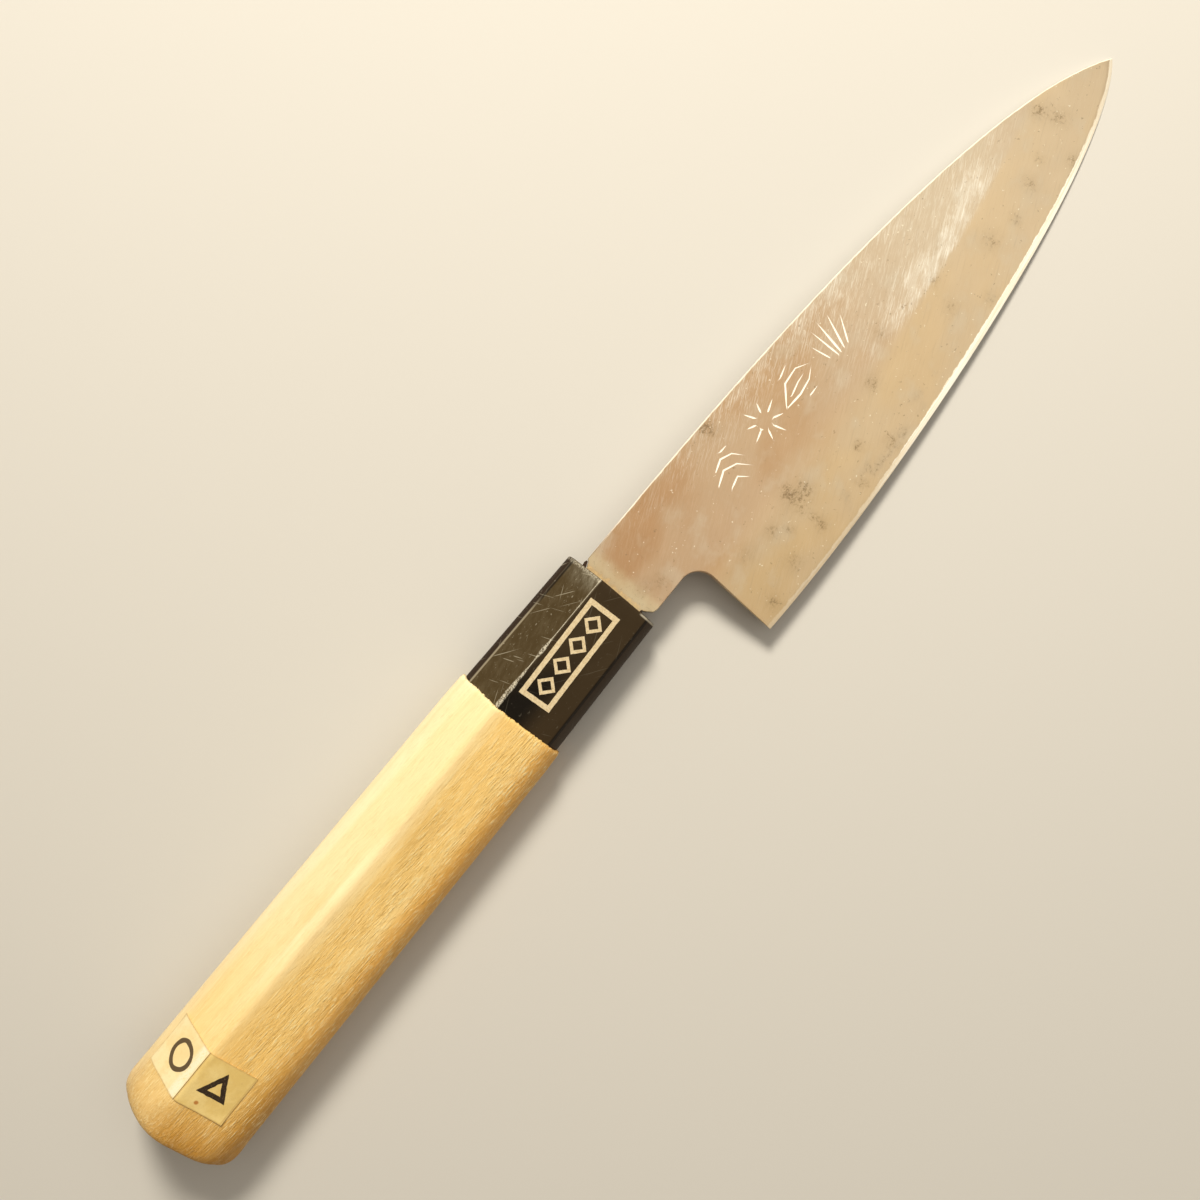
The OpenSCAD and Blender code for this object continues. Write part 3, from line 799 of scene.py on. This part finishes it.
def make_foil(material):
    build = Build()
    corners = np.array([(1, 1), (-1, 1), (-1, -1), (1, -1)])
    size = np.array([FOIL_LEN / 2, FOIL_W / 2])
    outer = polygon_loop(corners * size)
    inner = outer * ((size - FOIL_BAND) / size)
    ribbon(build, on_ferrule, uneven(outer, 0.025), uneven(inner, 0.03), FOIL_T)
    build.piece("foil_frame_band", material, ["foil_frame"], 30)
    pitch = (FOIL_LEN - 2 * FOIL_BAND - 0.8) / 4
    for i in range(4):
        build = Build()
        half = np.array([(pitch - 0.5) / 2, (FOIL_W - 2 * FOIL_BAND - 0.8) / 2])
        lozenge = np.array([(-1, 0), (0, 1), (1, 0), (0, -1)])
        centre = np.array([(1.5 - i) * pitch, 0])
        outer = polygon_loop(lozenge * half, 0.16)
        inner = outer * (1 - 0.83 / half)
        ribbon(build, on_ferrule, uneven(outer, 0.02) + centre, uneven(inner, 0.02) + centre, FOIL_T)
        build.piece(f"foil_lozenge_{i + 1}", material, [f"foil_motif_{i + 1}"], 30)


TAG_MID = -HANDLE_LEN + TAG_FROM_BUTT + TAG_SIDE / 2
TAG_T = 0.11
CREASE = Ripple(51, (5, 5), 16)


def tag_lift(side, u, v):
    """Height of a tag's underside over the wood: mostly stuck down, with loose corners."""
    half = TAG_SIDE / 2
    corner = np.clip(side * u / half, 0, 1) * np.clip(v / TAG_SIDE, 0, 1)
    near_ridge = np.exp(-(v / 0.9) ** 2)
    return 0.03 + 0.2 * corner ** 4 + 0.05 * near_ridge + 0.02 * (1 + CREASE(u, v + 20 * side))


def on_tag(side):
    def place(u, v, h):
        x = TAG_MID + u
        return WOOD_SECTION.on(side, x, np.maximum(v, 0.02), wood_width(x),
                               tag_lift(side, u, v) + h)
    return place


def tag_rim(co):
    """Distance from a tag's three outer sides, in mm."""
    along = TAG_SIDE / 2 - np.abs(co[:, 0] - TAG_MID)
    ridge = past_ridge(co, wood_width)
    across = np.where(ridge > 0, *TAG_SPANS) * TAG_SIDE - np.abs(ridge)
    return np.minimum(along, np.abs(across))


def make_tags(paper, ink):
    half = TAG_SIDE / 2
    for side, name, node in ((1, "tag_narrow_paper", "tag_narrow_side"),
                             (-1, "tag_wide_paper", "tag_wide_side")):
        build = Build()
        down = np.linspace(0.05, TAG_SIDE - 0.15, 41)
        sheet(build, on_tag(side), np.linspace(-half, half, 41), down, TAG_T)
        build.piece(name, paper, [node], 40, {"rim": tag_rim})

    def inked(side, name, node, outer, inner):
        build = Build()
        place = on_tag(side)
        ribbon(build, lambda u, v, h: place(u, v, h + TAG_T + 0.003), outer, inner, 0.02)
        build.piece(name, ink, [node], 30)

    hand = Ripple(61, (2.2, 2.2), 10)
    circle = round_points(np.linspace(0, 360, 97)[:-1])
    wide = INK_W / 2 * (0.88 + 0.16 * hand(circle[:, 0] * 2, circle[:, 1] * 2))[:, None]
    radius = INK_R - INK_W / 2 + 0.12 * hand(circle[:, 1], circle[:, 0])[:, None]
    centre = np.array([0.4, TAG_SIDE / 2 - 0.5])
    inked(1, "ink_ring_mark", "ink_ring", circle * (radius + wide) + centre,
          circle * (radius - wide) + centre)
    reach = INK_R + 0.5
    outer = polygon_loop(reach * round_points([0, 120, 240]), 0.12)
    inner = outer * (reach - 2 * INK_W) / reach
    centre = np.array([0.0, TAG_SIDE / 2])
    inked(-1, "ink_triangle_mark", "ink_triangle", uneven(outer, 0.05) + centre,
          uneven(inner, 0.05) + centre)


# ---------------- material helpers
def sum_of(operation, turned=False):
    """A method that puts a field and another value through one maths node."""
    def method(self, other=0.0):
        a, b = (other, self) if turned else (self, other)
        return self.paint.maths(operation, a, b)
    return method


class Field:
    """A value in a shader, for sums and products with numbers and other fields."""

    def __init__(self, paint, socket):
        self.paint = paint
        self.socket = socket

    __add__ = sum_of("ADD")
    __sub__ = sum_of("SUBTRACT")
    __rsub__ = sum_of("SUBTRACT", turned=True)
    __mul__ = __rmul__ = sum_of("MULTIPLY")
    __truediv__ = sum_of("DIVIDE")
    __pow__ = sum_of("POWER")
    __abs__ = sum_of("ABSOLUTE")


class Paint:
    """Short names for the shader nodes of one material."""

    def __init__(self, name):
        self.mat = bpy.data.materials.new(name)
        self.mat.use_nodes = True
        self.tree = self.mat.node_tree
        self.tree.nodes.clear()
        self.out = self.node("ShaderNodeOutputMaterial")
        self.knife = self.node("ShaderNodeAttribute", attribute_name="knife").outputs["Vector"]

    def node(self, kind, inputs=None, **props):
        n = self.tree.nodes.new(kind)
        for key, value in props.items():
            setattr(n, key, value)
        for key, value in (inputs or {}).items():
            self.feed(n.inputs[key], value)
        return n

    def feed(self, socket, value):
        if isinstance(value, Field):
            value = value.socket
        if isinstance(value, bpy.types.NodeSocket):
            self.tree.links.new(value, socket)
        elif socket.type == "RGBA" and len(value) == 3:
            socket.default_value = (*value, 1)
        else:
            socket.default_value = value

    def field(self, kind, inputs=None, output=0, **props):
        """Makes a node and gives one of its outputs as a field."""
        return Field(self, self.node(kind, inputs, **props).outputs[output])

    def attribute(self, name):
        return self.field("ShaderNodeAttribute", output="Fac", attribute_name=name)

    def axis(self, letter):
        """The knife's own X or Y, in mm."""
        return self.field("ShaderNodeSeparateXYZ", {"Vector": self.knife}, letter)

    def maths(self, operation, a, b=0.0):
        return self.field("ShaderNodeMath", {0: a, 1: b}, operation=operation)

    def most(self, first, *others):
        """The largest of several fields at each point."""
        for other in others:
            first = self.maths("MAXIMUM", first, other)
        return first

    def ramp(self, value, low, high, to_low=0.0, to_high=1.0, kind="SMOOTHSTEP"):
        return self.field("ShaderNodeMapRange", {"Value": value, "From Min": low, "From Max": high,
                                                 "To Min": to_low, "To Max": to_high},
                          "Result", interpolation_type=kind)

    def evenly(self, noise, to_low, to_high):
        """A noise's usual range spread evenly between two values."""
        return self.ramp(noise, 0.3, 0.7, to_low, to_high, "LINEAR")

    def mix(self, share, a, b):
        return self.field("ShaderNodeMix", {0: share, 6: a, 7: b}, 2, data_type="RGBA")

    def layers(self, tone, coats):
        """Coats of (mask, colour) laid over a tone, the first one lowest."""
        for mask, colour in coats:
            tone = self.mix(mask, tone, colour)
        return tone

    def texture(self, vector, detail=2.0, rough=0.5, distort=0.0):
        return self.field("ShaderNodeTexNoise", {"Vector": vector, "Scale": 1.0, "Detail": detail,
                                                 "Roughness": rough, "Distortion": distort})

    def noise(self, scale, turn=0.0, shift=(0, 0, 0), **look):
        """Noise in knife coordinates turned about Z by degrees, then scaled."""
        turned = self.node("ShaderNodeMapping", {"Vector": self.knife, "Location": shift,
                                                 "Rotation": (0, 0, math.radians(turn))})
        placed = self.node("ShaderNodeVectorMath", {0: turned.outputs[0], 1: scale},
                           operation="MULTIPLY")
        return self.texture(placed.outputs[0], **look)

    def bump(self, height, distance, strength):
        """A normal bumped by a height of 0 to 1, worth distance in mm."""
        return self.field("ShaderNodeBump", {"Height": height, "Distance": distance * MM,
                                             "Strength": strength})

    def finish(self, **inputs):
        names = {k.replace("_", " "): v for k, v in inputs.items()}
        shader = self.node("ShaderNodeBsdfPrincipled", names)
        self.tree.links.new(shader.outputs[0], self.out.inputs[0])
        return self.mat


def steel():
    p = Paint("worn_steel")
    up = p.attribute("up")
    from_edge = p.attribute("from_edge")
    from_spine = p.attribute("from_spine")
    scratch_sheen = p.attribute("scratch_sheen")
    cuts = p.ramp(p.attribute("cut"), 0.02, 0.3) * up
    along = p.axis("X")
    cloud = p.noise((0.05, 0.08, 0.1))
    haze = p.noise((0.16, 0.22, 0.2), -20, detail=3, rough=0.55, shift=(4, 9, 0))
    # slanting scratches on the flat, and lines along the edge on the bevels
    long_lines = p.noise((0.2, 4.2, 1), -24, rough=0.6)
    short_lines = p.noise((0.42, 5.6, 1), -30, rough=0.6, shift=(3, 8, 0))
    fine_lines = p.noise((0.5, 7.5, 1), -19, rough=0.6)
    patchy = p.noise((0.25, 0.35, 1), -24, detail=3, rough=0.6, shift=(2, 2, 0))
    by_edge = p.node("ShaderNodeCombineXYZ", {"X": 0.05 * along, "Y": 5.0 * from_edge})
    edge_lines = p.texture(by_edge.outputs[0], detail=3, rough=0.7)
    blend = p.ramp(along, 40, 80, 5.0, 0.8)
    on_bevel = p.ramp((from_edge - BEVEL_W) / blend, 1.0, -1.0)
    ragged = p.ramp(p.noise((0.5, 0.1, 0.1), detail=5, rough=0.75), 0.3, 0.7, -0.1, 0.16)
    micro_end = p.ramp(along, 30, 80, 0.75, 1.2) + p.ramp(along, 92, 131, 0.0, -0.45) + ragged
    lines = p.most(p.ramp(long_lines, 0.56, 0.66), p.ramp(short_lines, 0.56, 0.66),
                   0.6 * p.ramp(fine_lines, 0.54, 0.64))
    scratch_sheen = scratch_sheen * p.ramp(patchy, 0.3, 0.62, 0.45, 1.0)
    scratches = lines * scratch_sheen
    # the flat goes from brown at the neck to pale near the tip, and the bevel likewise: a painted
    # reflection of warm light that brightens towards the tip; the bevel is yellower
    flat = p.layers((0.53, 0.325, 0.175), [
        (p.ramp(along, 8, 46), (0.6, 0.41, 0.245)),
        (p.ramp(along, 48, 88), (0.75, 0.63, 0.47)),
        (p.ramp(along, 96, 122), (0.72, 0.575, 0.405)),
    ])
    bevel = p.layers((0.7, 0.52, 0.3), [
        (p.ramp(along, 14, 60), (0.74, 0.57, 0.355)),
        (p.ramp(along, 60, 110), (0.79, 0.635, 0.43)),
    ])
    rubs = p.ramp(edge_lines, 0.6, 0.7) * p.ramp(from_edge, 4.0, 1.2)
    # old spots: fine pits with a grey-brown bloom round them
    grit = p.noise((1.5, 1.5, 1.5), detail=5, rough=0.8)
    belt = p.ramp(from_edge, 6.0, 3.6) * p.ramp(from_edge, 1.4, 2.4) * p.ramp(along, 76, 58)
    stain = p.most(p.attribute("stain"), belt * p.ramp(haze, 0.5, 0.66, 0.0, 0.5))
    pits = p.ramp(0.22 * stain + grit, 0.62, 0.74)
    bloom = stain * p.ramp(grit, 0.28, 0.62)
    specks = p.ramp(p.noise((0.9, 0.9, 1), detail=3, rough=0.7, shift=(40, 0, 0)), 0.65, 0.72)
    glints = p.ramp(p.noise((1.3, 1.3, 1), rough=0.6, shift=(0, 30, 0)), 0.7, 0.74)
    # golden stain where the neck meets the ferrule
    wavy = along - 2.8 * p.noise((0.6, 0.7, 1), detail=5, rough=0.7)
    seam = p.ramp(wavy, -0.35, -1.0)
    pale = p.ramp(wavy, 3.4, 0.2) * (1.0 - seam)
    # bright second bevel, spine corner and chisel cuts: fresher metal with a painted highlight laid
    # on it
    edge_highlight_tone = p.mix(p.ramp(edge_lines, 0.42, 0.58), (0.9, 0.82, 0.66), (1.0, 1.0, 0.94))
    keen = p.ramp(along, 34, 62, 0.3, 1.0) * p.ramp(along, 128, 106, 0.65, 1.0)
    micro = keen * p.ramp(from_edge - micro_end, 0.12, -0.12)
    nick = p.noise((0.5, 0.5, 1), detail=4, shift=(7, 7, 0))
    corner = p.ramp(from_spine + 0.3 * nick, 0.48, 0.28) * p.ramp(along, 2, 12)
    highlight_and_scratch_share = p.most(0.9 * micro, 0.8 * corner, cuts, 0.35 * scratches)
    metallic = p.most(0.7 * (1.0 - highlight_and_scratch_share) * up, 1.0 - up)
    height = (0.5 * long_lines + 0.4 * short_lines) * p.ramp(scratch_sheen, 0.1, 0.8, 0.25, 1.0)
    height = height + 0.5 * edge_lines * p.ramp(from_edge, 9.0, 0.0)
    height = height + 0.18 * fine_lines - 0.3 * pits
    tone = p.layers(flat, [
        (on_bevel, bevel),
        (0.35 * p.ramp(cloud, 0.42, 0.62), (0.7, 0.58, 0.43)),
        (0.3 * p.ramp(haze, 0.5, 0.72), (0.8, 0.72, 0.58)),
        (0.12 * p.ramp(long_lines, 0.42, 0.3), (0.4, 0.29, 0.19)),
        # painted highlight: the flat lightened where the scratches gather
        (0.42 * p.ramp(scratch_sheen, 0.4, 1.0), (0.96, 0.91, 0.8)),
        (0.85 * scratches, (1.0, 0.97, 0.88)),
        (0.35 * rubs, (0.95, 0.86, 0.66)),
        (0.4 * bloom, (0.42, 0.29, 0.14)),
        (pits * p.ramp(stain, 0.05, 0.6, 0.1, 0.46), (0.19, 0.115, 0.05)),
        (0.5 * specks, (0.3, 0.2, 0.11)),
        (0.7 * glints, (1.0, 0.93, 0.78)),
        (0.5 * pale, (0.8, 0.72, 0.48)),
        (seam * p.ramp(grit, 0.35, 0.6, 0.35, 0.85), (0.92, 0.7, 0.36)),
        (0.4 * pale * p.ramp(grit, 0.56, 0.66), (0.36, 0.25, 0.13)),
        # painted highlights on the second bevel, the spine corner and the chisel cuts
        (micro, edge_highlight_tone),
        (0.9 * corner, (1.0, 0.95, 0.84)),
        (cuts, (1.0, 0.96, 0.88)),
    ])
    return p.finish(Base_Color=tone, Metallic=metallic, Normal=p.bump(height, 0.03, 0.5),
                    Roughness=p.evenly(haze, 0.4, 0.47) + 0.08 * scratches + 0.15 * bloom)


def wood():
    p = Paint("bare_wood")
    side = p.attribute("ridge")
    along = p.axis("X")
    grain = p.noise((0.03, 0.5, 0.5), 1.5, detail=4, rough=0.6)
    bands = p.noise((0.01, 0.16, 0.16), 2.0, distort=0.4)
    dash_field = p.noise((0.5, 3.6, 3.6), 6, rough=0.65)
    fibres = p.noise((0.14, 4.0, 4.0), 2.5, detail=3, rough=0.7, shift=(9, 2, 5))
    fuzz = p.noise((1.3, 4.4, 4.4), 14, detail=3, rough=0.7, shift=(1, 7, 3))
    blotch = p.noise((0.05, 0.09, 0.09), detail=4, rough=0.6)
    # the raised fibres show most on the wide facet, where the light rakes over them, and at the
    # butt: their dark and pale dashes are partly grain and partly painted shade and highlight
    raked = p.most(p.ramp(side, -0.5, -7.5, 0.3, 1.0), p.ramp(along, -104, -114, 0.0, 0.85))
    patchy = p.noise((0.06, 0.3, 0.3), detail=3, shift=(5, 5, 5))
    raked = raked * p.ramp(patchy, 0.3, 0.65, 0.55, 1.0)
    bands = p.ramp(bands, 0.4, 0.6)
    # one wood painted lit and shaded: the pale tone on the narrow facet that faces the light, an
    # orange one on the wide facet and a deep orange on the rolled side turned from it; each grows
    # darker towards the butt as painted shade
    pale = p.mix(bands, (0.87, 0.73, 0.42), (0.94, 0.82, 0.53))
    pale = p.mix(p.ramp(along, -72, -108), pale, (0.9, 0.68, 0.31))
    wide_facet_shade = p.mix(bands, (0.96, 0.66, 0.24), (1.0, 0.75, 0.33))
    wide_facet_shade = p.mix(p.ramp(along, -62, -108), wide_facet_shade, (0.95, 0.62, 0.2))
    roll_shade = p.mix(p.ramp(along, -90, -112), (0.8, 0.4, 0.07), (0.56, 0.25, 0.02))
    # painted shade over the last part of the butt, strongest on the wide side
    butt = p.ramp(along, -108, -120) * p.ramp(side, 4.0, -6.0, 0.42, 1.0)
    pale_dash = 0.7 * raked * p.ramp(butt, 0.0, 1.0, 1.0, 0.35)
    tone = p.layers(pale, [
        (p.ramp(side, 1.6, -3.4), wide_facet_shade),
        (0.85 * p.ramp(side, -8.5, -12.5), roll_shade),
        # painted highlight on the spine-side roll, which faces the light
        (0.8 * p.ramp(side, 6.0, 9.5), (1.0, 0.87, 0.58)),
        (0.9 * butt, (0.55, 0.25, 0.025)),
        (0.22 * p.ramp(grain, 0.48, 0.7), (0.78, 0.5, 0.15)),
        (0.25 * p.ramp(blotch, 0.5, 0.72), (0.78, 0.5, 0.17)),
        (0.52 * raked * p.ramp(dash_field, 0.54, 0.68), (0.56, 0.3, 0.05)),
        (pale_dash * p.ramp(dash_field, 0.46, 0.34), (1.0, 0.86, 0.48)),
        (0.4 * raked * p.ramp(fibres, 0.54, 0.7), (0.58, 0.32, 0.06)),
        (0.25 * p.ramp(fibres, 0.46, 0.34), (1.0, 0.88, 0.56)),
        (0.35 * raked * p.ramp(fuzz, 0.56, 0.7), (0.52, 0.28, 0.05)),
    ])
    sunk = (0.6 * fibres + 0.8 * dash_field + 0.5 * fuzz) * raked
    return p.finish(Base_Color=tone, Roughness=p.evenly(grain, 0.55, 0.68),
                    Normal=p.bump(-1.0 * sunk, 0.26, 0.9))


def resin():
    p = Paint("black_resin")
    ridge, across, up = (p.attribute(n) for n in ("ridge", "across", "up"))
    along = p.axis("X")
    side = p.axis("Y")
    cloud = p.noise((0.12, 0.2, 0.2), detail=3)
    narrow = p.ramp(ridge, -0.15, 0.15)
    nicks = [p.ramp(p.noise(scale, turn, detail=1, shift=shift), 0.72, 0.77)
             for scale, turn, shift in (((0.1, 3.8, 0.1), -24, (0, 0, 0)),
                                        ((0.12, 4.2, 0.1), 36, (5, 1, 2)),
                                        ((0.16, 3.8, 0.1), 68, (2, 4, 7)))]
    dots = p.ramp(p.noise((1.3, 2.2, 2.2), detail=3, rough=0.7, shift=(8, 8, 8)), 0.64, 0.69)
    here = p.ramp(p.noise((0.25, 0.4, 0.4), shift=(6, 0, 1)), 0.44, 0.58, 0.3, 1.0)
    lines = p.most(*nicks, dots * here)
    haze = p.ramp(p.noise((0.35, 0.9, 0.9), -20, detail=5, rough=0.75), 0.4, 0.66)
    grit = p.noise((3.0, 3.4, 3.4), -35, detail=4, rough=0.75, shift=(3, 3, 3))
    # a rubbed line on the ridge, wider and ragged at two places, and a dull patch at the front
    wander = 1.1 * (p.noise((0.8, 0.1, 0.1), detail=4, rough=0.75, shift=(1, 2, 3)) - 0.5)
    dense = p.noise((0.13, 0.02, 0.02), detail=1, shift=(6.3, 0, 0))
    reach = p.ramp(dense, 0.42, 0.6, 0.07, 0.42)
    away = abs(ridge - 0.16 + wander * reach)
    beside = p.ramp(away / reach, 1.15, 0.6)
    worn = p.ramp(grit + 0.25 * wander, 0.44, 0.54)
    scuff = beside * p.most(worn, p.ramp(reach, 0.2, 0.1, 0.12, 0.6))
    front = p.ramp(along, -1.0, -0.35) * narrow
    bare_edge = p.ramp(along, -0.55, -0.3) * p.ramp(side, -6.2, -6.8)
    skin = p.ramp(along, -0.04, -0.16) * up
    rim = p.most(front * p.ramp(grit, 0.42, 0.6), bare_edge) * skin
    dull = skin * narrow * p.ramp(along, -4.5, -0.3) * p.ramp(ridge, 7.5, 0.5, 0.35, 1.0)
    # painted light and shade at the corners: a thin painted highlight along the spine-side corner
    # towards the back, and thin painted shade lines along the corners elsewhere
    left = p.ramp(abs(across - 0.44), 0.012, 0.003) * p.ramp(along, -8, -13)
    corner_shade_line = p.most(p.ramp(abs(across + 0.414), 0.02, 0.006),
                    p.ramp(abs(across - 0.436), 0.016, 0.004) * p.ramp(along, -12, -8))
    # beyond the corners the side bands are painted darker and browner, as a painted reflection
    beyond = p.most(p.ramp(across, 0.444, 0.456), p.ramp(across, -0.414, -0.43))
    tone = p.mix(cloud, (0.036, 0.022, 0.009), (0.05, 0.033, 0.015))
    # the back of the wide facet painted near black: a painted dark reflection, on resin less scuffed
    # there
    black = p.ramp(along + 1.2 * ridge, -15, -27) * p.ramp(ridge, -8.5, -3.5)
    tone = p.layers(tone, [
        # the narrow facet painted paler: its fine scuffs, and painted light on the facet turned to
        # the lamp
        (narrow, p.mix(haze, (0.058, 0.039, 0.016), (0.078, 0.057, 0.029))),
        (black * (1.0 - narrow), (0.006, 0.004, 0.002)),
        (dull * p.ramp(haze, 0.0, 1.0, 0.3, 0.8), (0.22, 0.2, 0.15)),
        (beyond, p.mix(p.ramp(across, -0.1, 0.1), (0.036, 0.02, 0.008), (0.022, 0.01, 0.003))),
        (0.8 * corner_shade_line * up, (0.004, 0.002, 0.001)),
        ((0.35 * narrow + 0.1) * lines * up, (0.5, 0.46, 0.36)),
        (0.6 * left * up, (0.4, 0.35, 0.25)),
        (p.most(0.85 * scuff, 0.6 * rim), (0.6, 0.56, 0.46)),
    ])
    rough = p.evenly(cloud, 0.34, 0.42) + 0.3 * scuff + 0.3 * beyond + 0.3 * corner_shade_line
    height = 0.7 * scuff + 0.1 * haze - 0.6 * lines
    return p.finish(Base_Color=tone, Roughness=rough, Specular_IOR_Level=0.28,
                    Normal=p.bump(height, 0.03, 0.7))


def foil():
    p = Paint("gold_foil")
    grit = p.noise((2.2, 2.2, 2.2), detail=5, rough=0.75)
    gone = p.ramp(p.noise((1.1, 1.7, 1.7), detail=6, rough=0.8, shift=(2, 2, 2)), 0.66, 0.71)
    tone = p.mix(p.ramp(grit, 0.35, 0.65), (0.76, 0.6, 0.36), (0.96, 0.82, 0.56))
    tone = p.mix(0.8 * gone, tone, (0.09, 0.07, 0.05))
    return p.finish(Base_Color=tone, Metallic=0.2 * (1.0 - gone),
                    Roughness=p.evenly(grit, 0.36, 0.55),
                    Normal=p.bump(grit, 0.02, 0.6))


def paper():
    p = Paint("old_paper")
    along, side = p.axis("X"), p.axis("Y")
    fibre = p.noise((1.3, 1.9, 1.9), 30, detail=6, rough=0.8)
    cloud = p.noise((0.22, 0.22, 0.22), detail=5, rough=0.65)
    clouded = p.ramp(cloud, 0.35, 0.65)
    # the tag on the wide facet is painted darker and more orange than the one on the narrow facet:
    # painted shade and light following the facets
    wide = p.mix(clouded, (0.8, 0.58, 0.2), (0.89, 0.69, 0.29))
    narrow = p.mix(clouded, (0.86, 0.69, 0.36), (0.93, 0.8, 0.49))
    rubbed = p.ramp(abs(side - 3.9), 1.1, 0.3) * p.ramp(fibre, 0.36, 0.54)
    seam = p.ramp(abs(side - 2.9), 0.22, 0.08)
    rim = p.ramp(p.attribute("rim"), 0.3, 0.02)
    foxing = p.ramp(p.noise((0.55, 0.55, 0.55), detail=5, rough=0.7, shift=(9, 3, 1)), 0.64, 0.74)
    from_spot = (along + 111.3) ** 2 + (side + 0.4) ** 2
    tone = p.layers(wide, [
        (p.ramp(side, *TAG_SEAM), narrow),
        (0.7 * rubbed, (0.96, 0.92, 0.76)),
        (0.5 * seam, (0.55, 0.36, 0.12)),
        (rim * p.ramp(fibre, 0.3, 0.6, 0.3, 0.75), (0.58, 0.38, 0.13)),
        (0.3 * p.ramp(fibre, 0.5, 0.72), (0.66, 0.48, 0.2)),
        (0.35 * foxing, (0.62, 0.4, 0.14)),
        (0.9 * p.ramp(from_spot, 0.22, 0.04), (0.5, 0.18, 0.03)),
    ])
    return p.finish(Base_Color=tone, Roughness=p.evenly(fibre, 0.5, 0.62),
                    Normal=p.bump(fibre + 2.0 * cloud, 0.08, 0.7))


def ink():
    p = Paint("dry_ink")
    grit = p.noise((2.5, 2.5, 2.5), detail=5, rough=0.75)
    fresh = p.mix(p.ramp(grit, 0.5, 0.75), (0.03, 0.018, 0.01), (0.16, 0.1, 0.05))
    faded = p.mix(grit, (0.085, 0.056, 0.028), (0.14, 0.1, 0.055))
    tone = p.mix(p.ramp(p.axis("Y"), *TAG_SEAM), fresh, faded)
    return p.finish(Base_Color=tone, Roughness=p.evenly(grit, 0.45, 0.65),
                    Normal=p.bump(grit, 0.02, 0.5))


def pitch():
    p = Paint("bedding_pitch")
    grit = p.noise((2, 2, 2), detail=4, rough=0.7)
    tone = p.mix(grit, (0.012, 0.008, 0.005), (0.06, 0.03, 0.015))
    return p.finish(Base_Color=tone, Roughness=p.evenly(grit, 0.4, 0.7),
                    Normal=p.bump(grit, 0.1, 0.8))


def floor_paint():
    p = Paint("pale_floor")
    tone = p.mix(p.noise((0.02, 0.02, 0.02), detail=3), (0.6, 0.59, 0.57), (0.64, 0.63, 0.61))
    return p.finish(Base_Color=tone, Roughness=0.8)


# ---------------- the pieces
make_blade(steel())
make_ferrule(resin())
make_grip(wood())
make_bedding(pitch())
make_foil(foil())
make_tags(paper(), ink())

# ---------------- floor, camera and light
SCENE = bpy.context.scene
VIEW_TURN = math.radians(-50.72)   # how far the picture's right is turned from row +X
RIGHT = Vector((math.cos(VIEW_TURN), math.sin(VIEW_TURN), 0))
UP = Vector((-math.sin(VIEW_TURN), math.cos(VIEW_TURN), 0))
LOOK_AT = Vector(at_rest([[-2.73, 0.54, 0]])[0])
LOOK_AT.z = 0
CAMERA_HEIGHT = 0.226
CAMERA_LEAN = math.radians(0.44)   # how far the camera looks towards the butt
FOCAL_SHARE = 1.031                # focal length over the width of the picture


def make_floor():
    size = 3.0
    mesh = bpy.data.meshes.new("floor")
    mesh.from_pydata([(-size, -size, 0), (size, -size, 0), (size, size, 0), (-size, size, 0)],
                     [], [(0, 1, 2, 3)])
    mesh.materials.append(floor_paint())
    floor = add_object("floor", mesh)
    floor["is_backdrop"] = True


def make_camera():
    data = bpy.data.cameras.new("camera")
    data.sensor_width = 36
    data.lens = 36 * FOCAL_SHARE
    data.clip_start, data.clip_end = 0.01, 20
    cam = add_object("camera", data)
    lean = Matrix.Translation(LOOK_AT) @ Matrix.Rotation(CAMERA_LEAN, 4, "Y")
    cam.matrix_world = lean @ Matrix((
        (RIGHT.x, UP.x, 0, 0),
        (RIGHT.y, UP.y, 0, 0),
        (0, 0, 1, CAMERA_HEIGHT),
        (0, 0, 0, 1)))
    SCENE.camera = cam


def lamp(name, right, up, height, size, power, colour, glossy=True):
    """A soft square lamp placed by the picture's own right and up, aimed at the knife."""
    data = bpy.data.lights.new(name, "AREA")
    data.shape = "SQUARE"
    data.size = size
    data.energy = power
    data.color = colour
    obj = add_object(name, data)
    obj.location = LOOK_AT + RIGHT * right + UP * up + Vector((0, 0, height))
    obj.rotation_mode = "QUATERNION"
    obj.rotation_quaternion = (LOOK_AT - obj.location).to_track_quat("-Z", "Y")
    obj.visible_glossy = glossy


def make_light():
    lamp("key", -0.03, 0.45, 0.50, 0.16, 5.3, (1.0, 0.92, 0.77), glossy=False)
    lamp("overhead", 0.24, 0.14, 0.80, 1.1, 3.3, (1.0, 0.94, 0.82))
    world = bpy.data.worlds.new("world")
    world.use_nodes = True
    background = world.node_tree.nodes["Background"].inputs
    background["Color"].default_value = (1.0, 0.82, 0.60, 1)
    background["Strength"].default_value = 0.16
    SCENE.world = world
    SCENE.view_settings.view_transform = "Standard"


make_floor()
make_camera()
make_light()

VISUAL_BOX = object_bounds()
boxes = {"cad": CAD_BOX, "visual": VISUAL_BOX}
{k: [list(corner) for corner in v] for k, v in boxes.items()}
